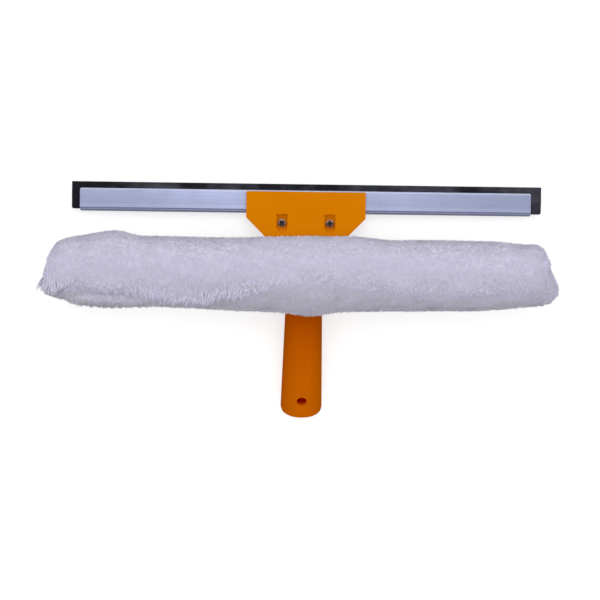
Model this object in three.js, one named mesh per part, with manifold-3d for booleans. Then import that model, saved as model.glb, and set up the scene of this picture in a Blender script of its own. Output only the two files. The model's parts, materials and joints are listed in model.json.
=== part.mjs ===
import * as THREE from 'three';
import { mergeVertices } from 'three/addons/utils/BufferGeometryUtils.js';
import Module from 'manifold-3d';

const wasm = await Module();
wasm.setup();

// A hand-held window squeegee with a fleece washer across its neck.
// Lengths are in millimetres and angles in degrees.
// It lies on its back, on the working edge of the rubber and the end of the handle.

// Clearances and cutting values
const seat_gap = 0.3;
const cut_overrun = 4;
const weld_distance = 0.0001;
const join_overlap = 1.5;

// The bend between the head and the grip
const head_bend = 31;

// Rubber blade
const rubber_length = 350;
const rubber_shift = 0.9;
const rubber_lip_height = 4.8;
const rubber_lip_thickness = 2;
const rubber_edge_thickness = 1.6;
const rubber_edge_height = 1.2;
const rubber_bead_thickness = 2.9;
const rubber_bead_height = 5.5;
const rubber_bead_slope = 0.4;
const rubber_corner_radius = 1.6;

// Aluminium channel
const channel_length = 336;
const channel_height = 17;
const channel_thickness = 6;
const channel_floor = 1.2;
const channel_lip_height = 1.6;
const channel_lip_round = 0.7;
const channel_groove_height = 2.1;
const channel_groove_width = 0.7;
const channel_groove_depth = 0.8;
const channel_foot_inset = 0.3;
const channel_foot_bevel = 1.3;
const channel_corner_radius = 1.4;

// Front jaw, moulded with the handle
const jaw_width = 88.7;
const jaw_step = 0.9;
const jaw_wall = 3.5;
const jaw_band_height = 12.9;
const jaw_side_height = 19.6;
const jaw_corner_radius = 1;
const jaw_top_round = 1.1;
const jaw_tooth_height = 0.6;
const jaw_tooth_width = 1.1;
const shoulder_angle = 45;
const head_face_slope = 18;
const head_back_gap = 1.4;
const ridge_round = 3;
const core_wall = 2.6;
const core_start = 25;

// Screw pockets in the front jaw
const clamp_screw_spacing = 35.6;
const clamp_screw_drop = 29.2;
const pocket_radius = 4;
const pocket_reach = 7.3;
const pocket_step = 0.8;

// Grip and pole socket
const grip_length = 135;
const grip_top_width = 25.2;
const grip_top_front = 12.5;
const grip_top_back = 12;
const grip_end_width = 32.2;
const grip_end_front = 15.2;
const grip_end_back = 15;
const grip_squareness = 2.25;
const grip_end_rounding = 3;
const socket_mouth_diameter = 16;
const socket_inner_diameter = 14.4;
const socket_depth = 90;
const socket_cone = 6;
const catch_hole_diameter = 8;
const catch_hole_from_end = 16.5;

// Rear jaw
const rear_jaw_width = 87;
const rear_jaw_wall = 2.6;
const rear_jaw_rib = 1.8;
const rear_jaw_rib_thickness = 1.8;
const rear_jaw_rib_spacing = 27;
const rear_jaw_rib_start = 2.4;
const rear_jaw_rib_stop = 7.2;
const rear_jaw_top_inset = 2.4;
const rear_jaw_shoulder_lift = 0.8;
const rear_jaw_height = 28.6;
const rear_jaw_foot_gap = 0.33;
const rear_jaw_heel = 3.2;
const rear_jaw_edge_bevel = 1.2;
const rear_jaw_top_bevel = 2.4;

// Screws and nuts
const screw_diameter = 3.5;
const screw_head_diameter = 6.4;
const screw_head_height = 2.4;
const screw_head_side = 1;
const screw_point = 0.8;
const recess_length = 4.2;
const recess_width = 1.3;
const recess_depth = 1.6;
const clamp_screw_length = 20;
const bar_screw_length = 16;
const left_recess_turn = 45;
const right_recess_turn = 8;
const nut_across_flats = 6;
const nut_height = 2.8;
const nut_boss_wall = 2.6;

// Washer bar
const bar_length = 350;
const bar_height = 32;
const bar_thickness = 12;
const bar_end_radius = 8;
const bar_plate = 3;
const bar_flange = 2.4;
const bar_rib = 2.2;
const bar_block_half = 16;
const bar_cells = 6;
const bar_cell_radius = 2.4;
const bar_up_the_handle = 11.2;
const bar_screw_spacing = 13;
const counterbore_depth = 3.4;

// Post that carries the bar
const post_width = 24;
const post_height = 13;
const post_sink = 9;
const socket_in_bar = 4;
const post_hole_spare = 1.5;

// Fleece sleeve
const sleeve_left_end = 189;
const sleeve_right_end = 186.5;
const sleeve_height_left = 56.6;
const sleeve_height_right = 55;
const sleeve_thickness = 40;
const sleeve_above_grip = 1.8;
const sleeve_bar_gap = 0.8;
const sleeve_squareness = 2.05;
const sleeve_tip_run = 29;
const sleeve_left_lip = 11;
const sleeve_right_lip = 0.8;
const sleeve_tip_drop = 7;
const sleeve_swell = 0.8;
const sleeve_swell_pitch = 124;
const sleeve_centre_bulge = 2.4;
const sleeve_centre_bulge_width = 46;
const sleeve_shoulder_bulge = 4.2;
const sleeve_shoulder_bulge_width = 62;
const sleeve_shoulder_bulge_from_end = 50;
const slit_side_gap = 1.5;

// Relief of the sleeve's front: a crown that wanders along it, the underside drawn in below the crown,
// and the fold at the open end
const crown_turn = 3;
const crown_dip_turn = 21;
const crown_dip_from_end = 105;
const crown_dip_width = 62;
const crown_rise_turn = 15;
const crown_rise_from_end = 197;
const crown_rise_width = 76;
const underside_recess = 2;
const underside_start_turn = -2;
const underside_full_turn = 14;
const underside_ease_turn = 45;
const underside_stop_turn = 70;
const fold_depth = 4.5;
const fold_turn = 10;
const fold_spread_turn = 8;
const fold_start_from_end = 3;
const fold_full_from_end = 19;
const fold_ease_from_end = 57;
const fold_stop_from_end = 81;

// Closure flap at the open end of the sleeve, with its hook and loop tapes
const flap_from_end = 12;
const flap_length = 56;
const flap_thickness = 3;
const flap_low_angle = 102;
const flap_root_angle = 206;
const tape_thickness = 1;
const tape_inset = 4;
const layer_gap = 0.6;
const tape_low_angle = 113;
const tape_high_angle = 152;
const recess_side_gap = 0.8;
const recess_turn_angle = 1.5;

// Facet counts
const round_steps = 24;
const corner_steps = 3;
const grip_steps = 64;
const grip_stations = 3;
const sleeve_steps = 44;
const sleeve_stations = 30;
const sleeve_crowding_share = 0.5;
const plate_steps = 11;
const plate_stations = 9;

const materials = {
  orange: { color: 0xd98a12, roughness: 0.42, metalness: 0 },
  aluminium: { color: 0xa8adc4, roughness: 0.4, metalness: 0.85 },
  rubber: { color: 0x35343f, roughness: 0.75, metalness: 0 },
  steel: { color: 0xb9bcc0, roughness: 0.3, metalness: 0.95 },
  bar: { color: 0xe4e4e0, roughness: 0.5, metalness: 0 },
  fleece: { color: 0xc6c4d2, roughness: 0.95, metalness: 0 },
  tape: { color: 0xb7b7c2, roughness: 0.9, metalness: 0 },
};

const radians = (angle) => THREE.MathUtils.degToRad(angle);
const signed_power = (value, power) => Math.sign(value) * Math.abs(value) ** power;
const mix = THREE.MathUtils.lerp;

// Heights on the head, measured up the head plane from the bend
const head_back = -head_back_gap;
const neck_level =
  (grip_top_back + head_back * Math.cos(radians(head_bend))) / Math.sin(radians(head_bend));
const rear_jaw_low = neck_level + rear_jaw_foot_gap;
const rear_jaw_top = rear_jaw_low + rear_jaw_height;
const head_reach = rear_jaw_top + rear_jaw_top_inset + jaw_step + rubber_lip_height;
const channel_top = head_reach - rubber_lip_height;
const channel_bottom = channel_top - channel_height;
const jaw_top = channel_top - jaw_step;
const crease_height = jaw_top - jaw_band_height;
const clamp_screw_height = head_reach - clamp_screw_drop;
const shelf_height = channel_bottom - seat_gap;
const groove_level = channel_bottom + channel_groove_height;

// Distances in front of the head's middle plane
const front_seat = channel_thickness / 2 + seat_gap;
const front_band = front_seat + jaw_wall;

// The washer bar's axis, in the grip's own axes
const bar_front_of_grip = grip_top_front + sleeve_above_grip + sleeve_thickness / 2;

// Even shares from nothing to one
function even_shares(steps) {
  return Array.from({ length: steps + 1 }, (_, step) => step / steps);
}

// Height of the sloping front face at a level on the head
function head_face(level) {
  return front_band + (crease_height - level) * Math.tan(radians(head_face_slope));
}

// Turns a point of the grip's axes into the head's axes
function grip_to_head(up, front) {
  const bend = radians(head_bend);
  return [
    up * Math.cos(bend) - front * Math.sin(bend),
    up * Math.sin(bend) + front * Math.cos(bend),
  ];
}

// The ridge where the front face meets the front of the grip
function find_ridge() {
  const bend = radians(head_bend);
  const slope = Math.tan(radians(head_face_slope));
  const face_at_bend = head_face(0);
  const level = (face_at_bend * Math.cos(bend) - grip_top_front) / (Math.sin(bend) + slope * Math.cos(bend));
  return { level, front: head_face(level) };
}

const ridge = find_ridge();
const ridge_up_grip =
  ridge.level * Math.cos(radians(head_bend)) + ridge.front * Math.sin(radians(head_bend));

// Closed solids from three.js geometry, and back
function solid_of(geometry) {
  const plain = geometry.clone();
  plain.deleteAttribute('normal');
  plain.deleteAttribute('uv');
  const welded = mergeVertices(plain, weld_distance);
  const corners = welded.attributes.position;
  const index = new Uint32Array(welded.index.array);
  const [a, b, c] = [new THREE.Vector3(), new THREE.Vector3(), new THREE.Vector3()];
  let volume = 0;
  for (let face = 0; face < index.length; face += 3) {
    a.fromBufferAttribute(corners, index[face]);
    b.fromBufferAttribute(corners, index[face + 1]);
    c.fromBufferAttribute(corners, index[face + 2]);
    volume += a.dot(b.cross(c));
  }
  if (volume < 0) {
    index.reverse();
  }
  const vertProperties = new Float32Array(corners.array);
  return new wasm.Manifold(new wasm.Mesh({ numProp: 3, vertProperties, triVerts: index }));
}

function geometry_of(solid) {
  const mesh = solid.getMesh();
  const geometry = new THREE.BufferGeometry();
  geometry.setAttribute('position', new THREE.BufferAttribute(mesh.vertProperties, 3));
  geometry.setIndex(new THREE.BufferAttribute(mesh.triVerts, 1));
  geometry.computeVertexNormals();
  return geometry;
}

function shape_of(points) {
  return new THREE.Shape(points.map(([x, y]) => new THREE.Vector2(x, y)));
}

// An outline whose corners are drawn as short curves
function rounded_shape(points, radius) {
  const shape = new THREE.Shape();
  points.forEach(([x, y], place) => {
    const corner = new THREE.Vector2(x, y);
    const before = new THREE.Vector2(...points[(place + points.length - 1) % points.length]);
    const after = new THREE.Vector2(...points[(place + 1) % points.length]);
    const start = before.sub(corner).setLength(radius).add(corner);
    const end = after.sub(corner).setLength(radius).add(corner);
    if (place === 0) {
      shape.moveTo(start.x, start.y);
    } else {
      shape.lineTo(start.x, start.y);
    }
    shape.quadraticCurveTo(corner.x, corner.y, end.x, end.y);
  });
  shape.closePath();
  return shape;
}

// A prism standing on a plan outline, from low to high
function plan_prism(shape, low, high) {
  const options = { depth: high - low, bevelEnabled: false, curveSegments: corner_steps };
  return solid_of(new THREE.ExtrudeGeometry(shape, options).translate(0, 0, low));
}

// A prism along the blade, from a side outline of level and front
const side_axes = new THREE.Matrix4().makeBasis(
  new THREE.Vector3(0, 1, 0),
  new THREE.Vector3(0, 0, 1),
  new THREE.Vector3(1, 0, 0),
);

function side_prism(shape, left, right) {
  const options = { depth: right - left, bevelEnabled: false, curveSegments: corner_steps };
  const geometry = new THREE.ExtrudeGeometry(shape, options).translate(0, 0, left);
  return solid_of(geometry.applyMatrix4(side_axes));
}

function box(low, high) {
  const size = high.map((value, axis) => value - low[axis]);
  const middle = high.map((value, axis) => (value + low[axis]) / 2);
  return solid_of(new THREE.BoxGeometry(...size).translate(...middle));
}

// A round bar along the front direction
function front_cylinder(radius, x, y, low, high) {
  const geometry = new THREE.CylinderGeometry(radius, radius, high - low, round_steps);
  return solid_of(geometry.rotateX(Math.PI / 2).translate(x, y, (low + high) / 2));
}

// A skin over rings of points, closed at both ends
function loft(rings) {
  const around = rings[0].length;
  const points = rings.flat();
  const index = [];
  for (let row = 0; row < rings.length - 1; row += 1) {
    for (let step = 0; step < around; step += 1) {
      const next = (step + 1) % around;
      const [a, b] = [row * around + step, row * around + next];
      index.push(a, b, b + around, a, b + around, a + around);
    }
  }
  [0, rings.length - 1].forEach((row) => {
    const centre = new THREE.Vector3();
    rings[row].forEach((point) => centre.add(point));
    points.push(centre.divideScalar(around));
    for (let step = 0; step < around; step += 1) {
      const [a, b] = [row * around + step, row * around + ((step + 1) % around)];
      index.push(...(row === 0 ? [b, a] : [a, b]), points.length - 1);
    }
  });
  const geometry = new THREE.BufferGeometry().setFromPoints(points);
  geometry.setIndex(index);
  return solid_of(geometry);
}

function ring(count, width, depth, squareness, place) {
  return Array.from({ length: count }, (_, step) => {
    const turn = (2 * Math.PI * step) / count;
    const across = width * signed_power(Math.cos(turn), 2 / squareness);
    const outward = depth * signed_power(Math.sin(turn), 2 / squareness);
    return place(across, outward);
  });
}

function join(first, ...others) {
  return others.reduce((whole, piece) => whole.add(piece), first);
}

function cut(first, ...others) {
  return others.reduce((whole, piece) => whole.subtract(piece), first);
}

function named(name, solid, material) {
  const mesh = new THREE.Mesh(geometry_of(solid), new THREE.MeshStandardMaterial(materials[material]));
  mesh.name = name;
  return mesh;
}

// Outline of a jaw in the head plane: straight sides, then shoulders running in to the neck
function jaw_outline(width, top, side_height, low, low_half_width) {
  const half = width / 2;
  const side_end = top - side_height;
  const shoulder_run = Math.tan(radians(shoulder_angle));
  const neck_level = side_end - (half - low_half_width) / shoulder_run;
  const foot = Math.max(neck_level, low);
  const foot_half = half - (side_end - foot) * shoulder_run;
  const right = [[half, top], [half, side_end], [foot_half, foot]];
  if (neck_level > low) {
    right.push([low_half_width, low]);
  }
  const left = right.map(([x, y]) => [-x, y]).reverse();
  return rounded_shape([...left, ...right], jaw_corner_radius);
}

// The grip's outside, from its top at the ridge to the rounded end
function grip_body() {
  const level_at = (share) => mix(ridge_up_grip, -grip_length + grip_end_rounding, share);
  const shares = even_shares(grip_stations);
  const body = shares.map((share) => ({ level: level_at(share), share, inset: 0 }));
  const rounding = even_shares(corner_steps).slice(1).map((part_turn) => {
    const turn = (part_turn * Math.PI) / 2;
    return {
      level: -grip_length + grip_end_rounding * (1 - Math.sin(turn)),
      share: 1,
      inset: grip_end_rounding * (1 - Math.cos(turn)),
    };
  });
  const rings = [...body, ...rounding].map(({ level, share, inset }) => {
    const half_width = mix(grip_top_width, grip_end_width, share) / 2 - inset;
    const front = mix(grip_top_front, grip_end_front, share) - inset;
    const back = mix(grip_top_back, grip_end_back, share) - inset;
    return ring(grip_steps, half_width, 1, grip_squareness, (across, outward) => {
      const depth = outward > 0 ? front * outward : back * outward;
      return new THREE.Vector3(across, level, depth);
    });
  });
  return loft(rings);
}

// Tapered socket for an extension pole, open at the end of the grip
function pole_socket() {
  const mouth = socket_mouth_diameter / 2;
  const inner = socket_inner_diameter / 2;
  const bottom = -grip_length + socket_depth;
  const profile = [
    new THREE.Vector2(0, -grip_length - cut_overrun),
    new THREE.Vector2(mouth, -grip_length - cut_overrun),
    new THREE.Vector2(mouth, -grip_length),
    new THREE.Vector2(inner, bottom),
    new THREE.Vector2(0, bottom + socket_cone),
  ];
  return solid_of(new THREE.LatheGeometry(profile, grip_steps));
}

// The wedge of the head between its front face, its back and the grip
function head_wedge() {
  const bend = radians(head_bend);
  const inside_grip = grip_to_head(ridge_up_grip / 2, 0);
  const down_face = [Math.cos(radians(head_face_slope)), -Math.sin(radians(head_face_slope))];
  const down_grip = [-Math.cos(bend), -Math.sin(bend)];
  const face_start = [ridge.level + down_face[0] * ridge_round, ridge.front + down_face[1] * ridge_round];
  const grip_start = [ridge.level + down_grip[0] * ridge_round, ridge.front + down_grip[1] * ridge_round];
  const shape = new THREE.Shape();
  shape.moveTo(jaw_top, front_seat);
  shape.lineTo(jaw_top, front_band - jaw_top_round);
  shape.quadraticCurveTo(jaw_top, front_band, jaw_top - jaw_top_round, front_band);
  shape.lineTo(crease_height, front_band);
  shape.lineTo(...face_start);
  shape.quadraticCurveTo(ridge.level, ridge.front, ...grip_start);
  shape.lineTo(...inside_grip);
  shape.lineTo(neck_level - join_overlap, head_back);
  shape.lineTo(shelf_height, head_back);
  shape.lineTo(shelf_height, front_seat);
  shape.lineTo(groove_level - jaw_tooth_width / 2, front_seat);
  shape.lineTo(groove_level, front_seat - jaw_tooth_height);
  shape.lineTo(groove_level + jaw_tooth_width / 2, front_seat);
  return side_prism(shape, -jaw_width / 2, jaw_width / 2);
}

// Hollow behind each shoulder, open at the back as a moulder cores a thick wall
function shoulder_core(side) {
  const bend_tan = Math.tan(radians(shoulder_angle));
  const outer = jaw_width / 2 - core_wall;
  const top = shelf_height - core_wall;
  const side_end = jaw_top - jaw_side_height;
  const slant_shift = core_wall * (Math.SQRT2 - 1);
  const low = side_end - slant_shift - (outer - core_start) / bend_tan;
  const outline = shape_of([
    [side * core_start, top],
    [side * outer, top],
    [side * outer, side_end - slant_shift],
    [side * core_start, low],
  ]);
  const section = shape_of([
    [top + cut_overrun, head_back - cut_overrun],
    [top + cut_overrun, head_face(top + cut_overrun) - core_wall],
    [low - cut_overrun, head_face(low - cut_overrun) - core_wall],
    [low - cut_overrun, head_back - cut_overrun],
  ]);
  const tall = plan_prism(outline, head_back - cut_overrun, head_face(low) + cut_overrun);
  return tall.intersect(side_prism(section, -jaw_width, jaw_width));
}

// U-shaped pocket for a clamp screw: flat floor, walls drawn along the grip's front direction
const pocket_floor = head_face(clamp_screw_height + pocket_reach) - pocket_step;

function screw_pocket(x) {
  const shape = new THREE.Shape();
  shape.moveTo(pocket_radius, 0);
  shape.lineTo(pocket_radius, pocket_reach);
  shape.lineTo(-pocket_radius, pocket_reach);
  shape.lineTo(-pocket_radius, 0);
  shape.absarc(0, 0, pocket_radius, Math.PI, 2 * Math.PI, false);
  const options = { depth: grip_end_front, bevelEnabled: false, curveSegments: round_steps / 2 };
  const geometry = new THREE.ExtrudeGeometry(shape, options);
  const lean = new THREE.Matrix4().makeShear(0, 0, 0, 0, 0, -Math.tan(radians(head_bend)));
  geometry.applyMatrix4(lean);
  return solid_of(geometry.translate(x, clamp_screw_height, pocket_floor));
}

const clamp_screw_places = [-clamp_screw_spacing / 2, clamp_screw_spacing / 2];
const bar_screw_places = [-bar_screw_spacing / 2, bar_screw_spacing / 2];
const screw_hole_radius = screw_diameter / 2 + seat_gap;
const bar_back = bar_front_of_grip - bar_thickness / 2;
const bar_front = bar_front_of_grip + bar_thickness / 2;
const post_top = bar_back + socket_in_bar - seat_gap;
const bar_screw_seat = bar_front - counterbore_depth + seat_gap;

// Handle: grip, neck and front jaw in one moulding, in the head's axes
function build_handle() {
  const turn_to_head = new THREE.Matrix4().makeRotationX(radians(head_bend));
  const neck_half = grip_top_width / 2 + seat_gap;
  const outline = jaw_outline(jaw_width, jaw_top, jaw_side_height, -head_reach, neck_half);
  const plan = plan_prism(outline, -head_reach, head_reach);
  const wedge = head_wedge().intersect(plan);
  const post = box(
    [-post_width / 2, bar_up_the_handle - post_height / 2, grip_top_front - post_sink],
    [post_width / 2, bar_up_the_handle + post_height / 2, post_top],
  );
  const post_holes = bar_screw_places.map((x) => front_cylinder(
    screw_hole_radius,
    x,
    bar_up_the_handle,
    bar_screw_seat - bar_screw_length - post_hole_spare,
    post_top + cut_overrun,
  ));
  const hole_level = -grip_length + catch_hole_from_end;
  const catch_hole = front_cylinder(catch_hole_diameter / 2, 0, hole_level, 0, grip_end_front + cut_overrun);
  const grip = join(cut(grip_body(), pole_socket(), catch_hole), post);
  const drilled = cut(grip, ...post_holes).transform(turn_to_head.toArray());
  const screw_holes = clamp_screw_places.map((x) => front_cylinder(
    screw_hole_radius,
    x,
    clamp_screw_height,
    head_back - cut_overrun,
    pocket_floor + cut_overrun,
  ));
  const pockets = clamp_screw_places.map((x) => screw_pocket(x));
  const cores = [shoulder_core(-1), shoulder_core(1)];
  return named('handle', cut(join(wedge, drilled), ...pockets, ...screw_holes, ...cores), 'orange');
}

// Rear jaw: plate, ribs and nut bosses, closing on the channel from behind
const rear_seat = -front_seat;
const rear_face = rear_seat - rear_jaw_wall;
const nut_seat = rear_face - seat_gap;
const nut_boss_end = rear_face - nut_height;

function hexagon(across_flats) {
  const corner_radius = across_flats / Math.sqrt(3);
  const points = Array.from({ length: 6 }, (_, step) => {
    const turn = (step * Math.PI) / 3;
    return [corner_radius * Math.cos(turn), corner_radius * Math.sin(turn)];
  });
  return shape_of(points);
}

function build_rear_jaw() {
  const [top, low] = [rear_jaw_top, rear_jaw_low];
  const heel_top = low + rear_jaw_heel;
  const heel_front = head_back - seat_gap;
  const bevel = rear_jaw_edge_bevel;
  const section = shape_of([
    [top, rear_seat],
    [groove_level + jaw_tooth_width / 2, rear_seat],
    [groove_level, rear_seat + jaw_tooth_height],
    [groove_level - jaw_tooth_width / 2, rear_seat],
    [heel_top + jaw_tooth_width, rear_seat],
    [heel_top, heel_front],
    [low, heel_front],
    [low, rear_face + bevel],
    [low + bevel, rear_face],
    [top - rear_jaw_top_bevel, rear_face],
    [top, rear_face + bevel],
  ]);
  const side_height = jaw_side_height - rear_jaw_top_inset - rear_jaw_shoulder_lift;
  const outline = jaw_outline(rear_jaw_width, top, side_height, low, grip_top_width / 2);
  const plate = side_prism(section, -rear_jaw_width / 2, rear_jaw_width / 2)
    .intersect(plan_prism(outline, rear_face - cut_overrun, cut_overrun));
  const rib_half = rear_jaw_rib_thickness / 2;
  const rib_low = low + rear_jaw_rib_start;
  const rib_high = top - rear_jaw_rib_stop;
  const ribs = [-rear_jaw_rib_spacing, 0, rear_jaw_rib_spacing].map((x) => box(
    [x - rib_half, rib_low, rear_face - rear_jaw_rib],
    [x + rib_half, rib_high, rear_face + join_overlap],
  ));
  const boss_radius = nut_across_flats / Math.sqrt(3) + nut_boss_wall;
  const bosses = clamp_screw_places.map((x) => front_cylinder(
    boss_radius, x, clamp_screw_height, nut_boss_end, rear_face + join_overlap,
  ));
  const nut_pockets = clamp_screw_places.map((x) => plan_prism(
    hexagon(nut_across_flats + 2 * seat_gap), nut_boss_end - cut_overrun, rear_face,
  ).translate([x, clamp_screw_height, 0]));
  const holes = clamp_screw_places.map((x) => front_cylinder(
    screw_hole_radius, x, clamp_screw_height, nut_boss_end - cut_overrun, cut_overrun,
  ));
  return named('rear_jaw', cut(join(plate, ...ribs, ...bosses), ...nut_pockets, ...holes), 'orange');
}

function build_nut(name, x) {
  const hole = front_cylinder(screw_hole_radius, 0, 0, -nut_height - cut_overrun, cut_overrun);
  const body = plan_prism(hexagon(nut_across_flats), -nut_height, 0);
  const nut = named(name, cut(body, hole), 'steel');
  nut.position.set(x, clamp_screw_height, nut_seat);
  return nut;
}

// Pan-head screw with a cross recess, its seat at zero and its shank pointing back
function build_screw(name, length, recess_turn) {
  const head = screw_head_diameter / 2;
  const shank = screw_diameter / 2;
  const dome = even_shares(corner_steps).slice(1, -1).map((share) => {
    const turn = (share * Math.PI) / 2;
    const rise = (screw_head_height - screw_head_side) * Math.sin(turn);
    return new THREE.Vector2(head * Math.cos(turn), screw_head_side + rise);
  });
  const profile = [
    new THREE.Vector2(0, -length),
    new THREE.Vector2(shank - screw_point, -length),
    new THREE.Vector2(shank, -length + screw_point),
    new THREE.Vector2(shank, 0),
    new THREE.Vector2(head, 0),
    new THREE.Vector2(head, screw_head_side),
    ...dome,
    new THREE.Vector2(0, screw_head_height),
  ];
  const body = solid_of(new THREE.LatheGeometry(profile, round_steps).rotateX(Math.PI / 2));
  const low = screw_head_height - recess_depth;
  const high = screw_head_height + cut_overrun;
  const [long, wide] = [recess_length / 2, recess_width / 2];
  const across = box([-long, -wide, low], [long, wide, high]);
  const along = box([-wide, -long, low], [wide, long, high]);
  const screw = named(name, cut(body, across, along), 'steel');
  screw.rotation.z = radians(recess_turn);
  return screw;
}

// Mirrors a half outline of height and half thickness into a closed one
function mirrored_outline(outer, inner) {
  const right = [...outer, ...[...inner].reverse()];
  const left = [...right].reverse().map(([level, half]) => [level, -half]);
  return shape_of([...right, ...left]);
}

const lip_half = rubber_lip_thickness / 2;
const bead_half = rubber_bead_thickness / 2;
const bead_top = channel_top - channel_lip_height - seat_gap;
const bead_bottom = bead_top - rubber_bead_height;

// Plan outline of a strip with rounded corners
function strip_outline(length, low, high, radius) {
  const half = length / 2;
  return rounded_shape([[-half, low], [half, low], [half, high], [-half, high]], radius);
}

function build_channel() {
  const half = channel_thickness / 2;
  const foot = half - channel_foot_inset;
  const outer = [
    [channel_bottom, foot - channel_foot_bevel],
    [channel_bottom + channel_foot_bevel, foot],
    [groove_level - channel_groove_width / 2, foot],
    [groove_level, half - channel_groove_depth],
    [groove_level + channel_groove_width, half],
    [channel_top - channel_lip_round, half],
    [channel_top, half - channel_lip_round],
  ];
  const inner = [
    [channel_bottom + channel_floor, lip_half + seat_gap],
    [bead_bottom - rubber_bead_slope - seat_gap, lip_half + seat_gap],
    [bead_bottom - seat_gap, bead_half + seat_gap],
    [channel_top - channel_lip_height, bead_half + seat_gap],
    [channel_top - channel_lip_height + rubber_bead_slope, lip_half + seat_gap],
    [channel_top, lip_half + seat_gap],
  ];
  const bar = side_prism(mirrored_outline(outer, inner), -channel_length / 2, channel_length / 2);
  const plan = strip_outline(channel_length, channel_bottom, channel_top, channel_corner_radius);
  const rounded = bar.intersect(plan_prism(plan, -channel_thickness, channel_thickness));
  return named('blade_channel', rounded, 'aluminium');
}

function build_rubber() {
  const bottom = channel_bottom + channel_floor + seat_gap;
  const outer = [
    [bottom, lip_half],
    [bead_bottom - rubber_bead_slope, lip_half],
    [bead_bottom, bead_half],
    [bead_top, bead_half],
    [bead_top + rubber_bead_slope, lip_half],
    [head_reach - rubber_edge_height, lip_half],
    [head_reach, rubber_edge_thickness / 2],
  ];
  const strip = side_prism(mirrored_outline(outer, []), -rubber_length / 2, rubber_length / 2);
  const plan = strip_outline(rubber_length, bottom, head_reach + cut_overrun, rubber_corner_radius);
  const rounded = strip.intersect(plan_prism(plan, -channel_thickness, channel_thickness));
  const rubber = named('blade_rubber', rounded, 'rubber');
  rubber.position.x = rubber_shift;
  return rubber;
}

// Washer bar: a ribbed tray, open at the back, with a solid block over the post
function build_bar() {
  const half_height = bar_height / 2;
  const half_length = bar_length / 2;
  const outline = strip_outline(bar_length, -half_height, half_height, bar_end_radius);
  const tray = plan_prism(outline, bar_back, bar_front).translate([0, bar_up_the_handle, 0]);
  const pitch = (half_length - bar_flange - bar_block_half) / bar_cells;
  const cells = [];
  const rows = [[bar_rib / 2, half_height - bar_flange], [bar_flange - half_height, -bar_rib / 2]];
  [-1, 1].forEach((side) => {
    for (let place = 0; place < bar_cells; place += 1) {
      const near = bar_block_half + place * pitch;
      const far = near + pitch - (place === bar_cells - 1 ? 0 : bar_rib);
      rows.forEach(([low, high]) => {
        const cell = strip_outline(far - near, low, high, bar_cell_radius);
        const middle = [(side * (near + far)) / 2, bar_up_the_handle, 0];
        cells.push(plan_prism(cell, bar_back - cut_overrun, bar_front - bar_plate).translate(middle));
      });
    }
  });
  const socket = box(
    [-post_width / 2 - seat_gap, bar_up_the_handle - post_height / 2 - seat_gap, bar_back - cut_overrun],
    [post_width / 2 + seat_gap, bar_up_the_handle + post_height / 2 + seat_gap, bar_back + socket_in_bar],
  );
  const head_radius = screw_head_diameter / 2 + seat_gap;
  const counterbores = bar_screw_places.map((x) => front_cylinder(
    head_radius, x, bar_up_the_handle, bar_front - counterbore_depth, bar_front + cut_overrun,
  ));
  const holes = bar_screw_places.map((x) => front_cylinder(
    screw_hole_radius, x, bar_up_the_handle, bar_back, bar_front,
  ));
  return named('washer_bar', cut(tray, ...cells, socket, ...counterbores, ...holes), 'bar');
}

// Sleeve sizes at a place along the bar: half height, half thickness and drop of its middle
function sleeve_section(x) {
  const share = (x + sleeve_left_end) / (sleeve_left_end + sleeve_right_end);
  const from_left = x + sleeve_left_end + sleeve_left_lip;
  const from_right = sleeve_right_end + sleeve_right_lip - x;
  const near_end = Math.min(from_left, from_right, sleeve_tip_run) / sleeve_tip_run;
  const fullness = Math.sqrt(1 - (1 - near_end) ** 2);
  const swell = sleeve_swell * Math.cos((2 * Math.PI * (x + sleeve_left_end)) / sleeve_swell_pitch);
  const hump = (middle, width) => Math.exp(-(((x - middle) / (width / 2)) ** 2));
  const shoulder = sleeve_shoulder_bulge_from_end - sleeve_left_end;
  return {
    fullness,
    half_height: fullness * (mix(sleeve_height_left, sleeve_height_right, share) / 2 + swell),
    half_thickness: fullness * (sleeve_thickness / 2),
    drop: sleeve_tip_drop * (1 - fullness),
    low_bulge: fullness * sleeve_centre_bulge * hump(0, sleeve_centre_bulge_width),
    high_bulge: fullness * sleeve_shoulder_bulge * hump(shoulder, sleeve_shoulder_bulge_width),
  };
}

// How far the front of the sleeve is drawn in at a place along the bar and an angle round it
function sleeve_relief(x, angle) {
  const { smoothstep } = THREE.MathUtils;
  const from_left = x + sleeve_left_end;
  const hump = (middle, width) => Math.exp(-(((from_left - middle) / (width / 2)) ** 2));
  const dip = crown_dip_turn * hump(crown_dip_from_end, crown_dip_width);
  const rise = crown_rise_turn * hump(crown_rise_from_end, crown_rise_width);
  const turn = THREE.MathUtils.radToDeg(Math.atan2(Math.sin(angle), Math.cos(angle)));
  const below_crown = turn - (crown_turn + dip - rise);
  const underside = smoothstep(below_crown, underside_start_turn, underside_full_turn)
    * (1 - smoothstep(turn, underside_ease_turn, underside_stop_turn));
  const along_fold = smoothstep(from_left, fold_start_from_end, fold_full_from_end)
    * (1 - smoothstep(from_left, fold_ease_from_end, fold_stop_from_end));
  const fold = Math.exp(-(((below_crown - fold_turn) / fold_spread_turn) ** 2));
  return mix(underside_recess * underside, fold_depth * fold, along_fold);
}

// A point of the sleeve: the angle runs from the middle of the front, down over the lower edge to the back
function sleeve_point(x, angle, inset) {
  const { fullness, half_height, half_thickness, drop, low_bulge, high_bulge } = sleeve_section(x);
  const power = 2 / sleeve_squareness;
  const low = half_height - inset + (Math.sin(angle) > 0 ? low_bulge : high_bulge);
  const thickness = half_thickness - inset - fullness * sleeve_relief(x, angle);
  return new THREE.Vector3(
    x,
    bar_up_the_handle - drop - low * signed_power(Math.sin(angle), power),
    bar_front_of_grip + thickness * signed_power(Math.cos(angle), power),
  );
}

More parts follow.
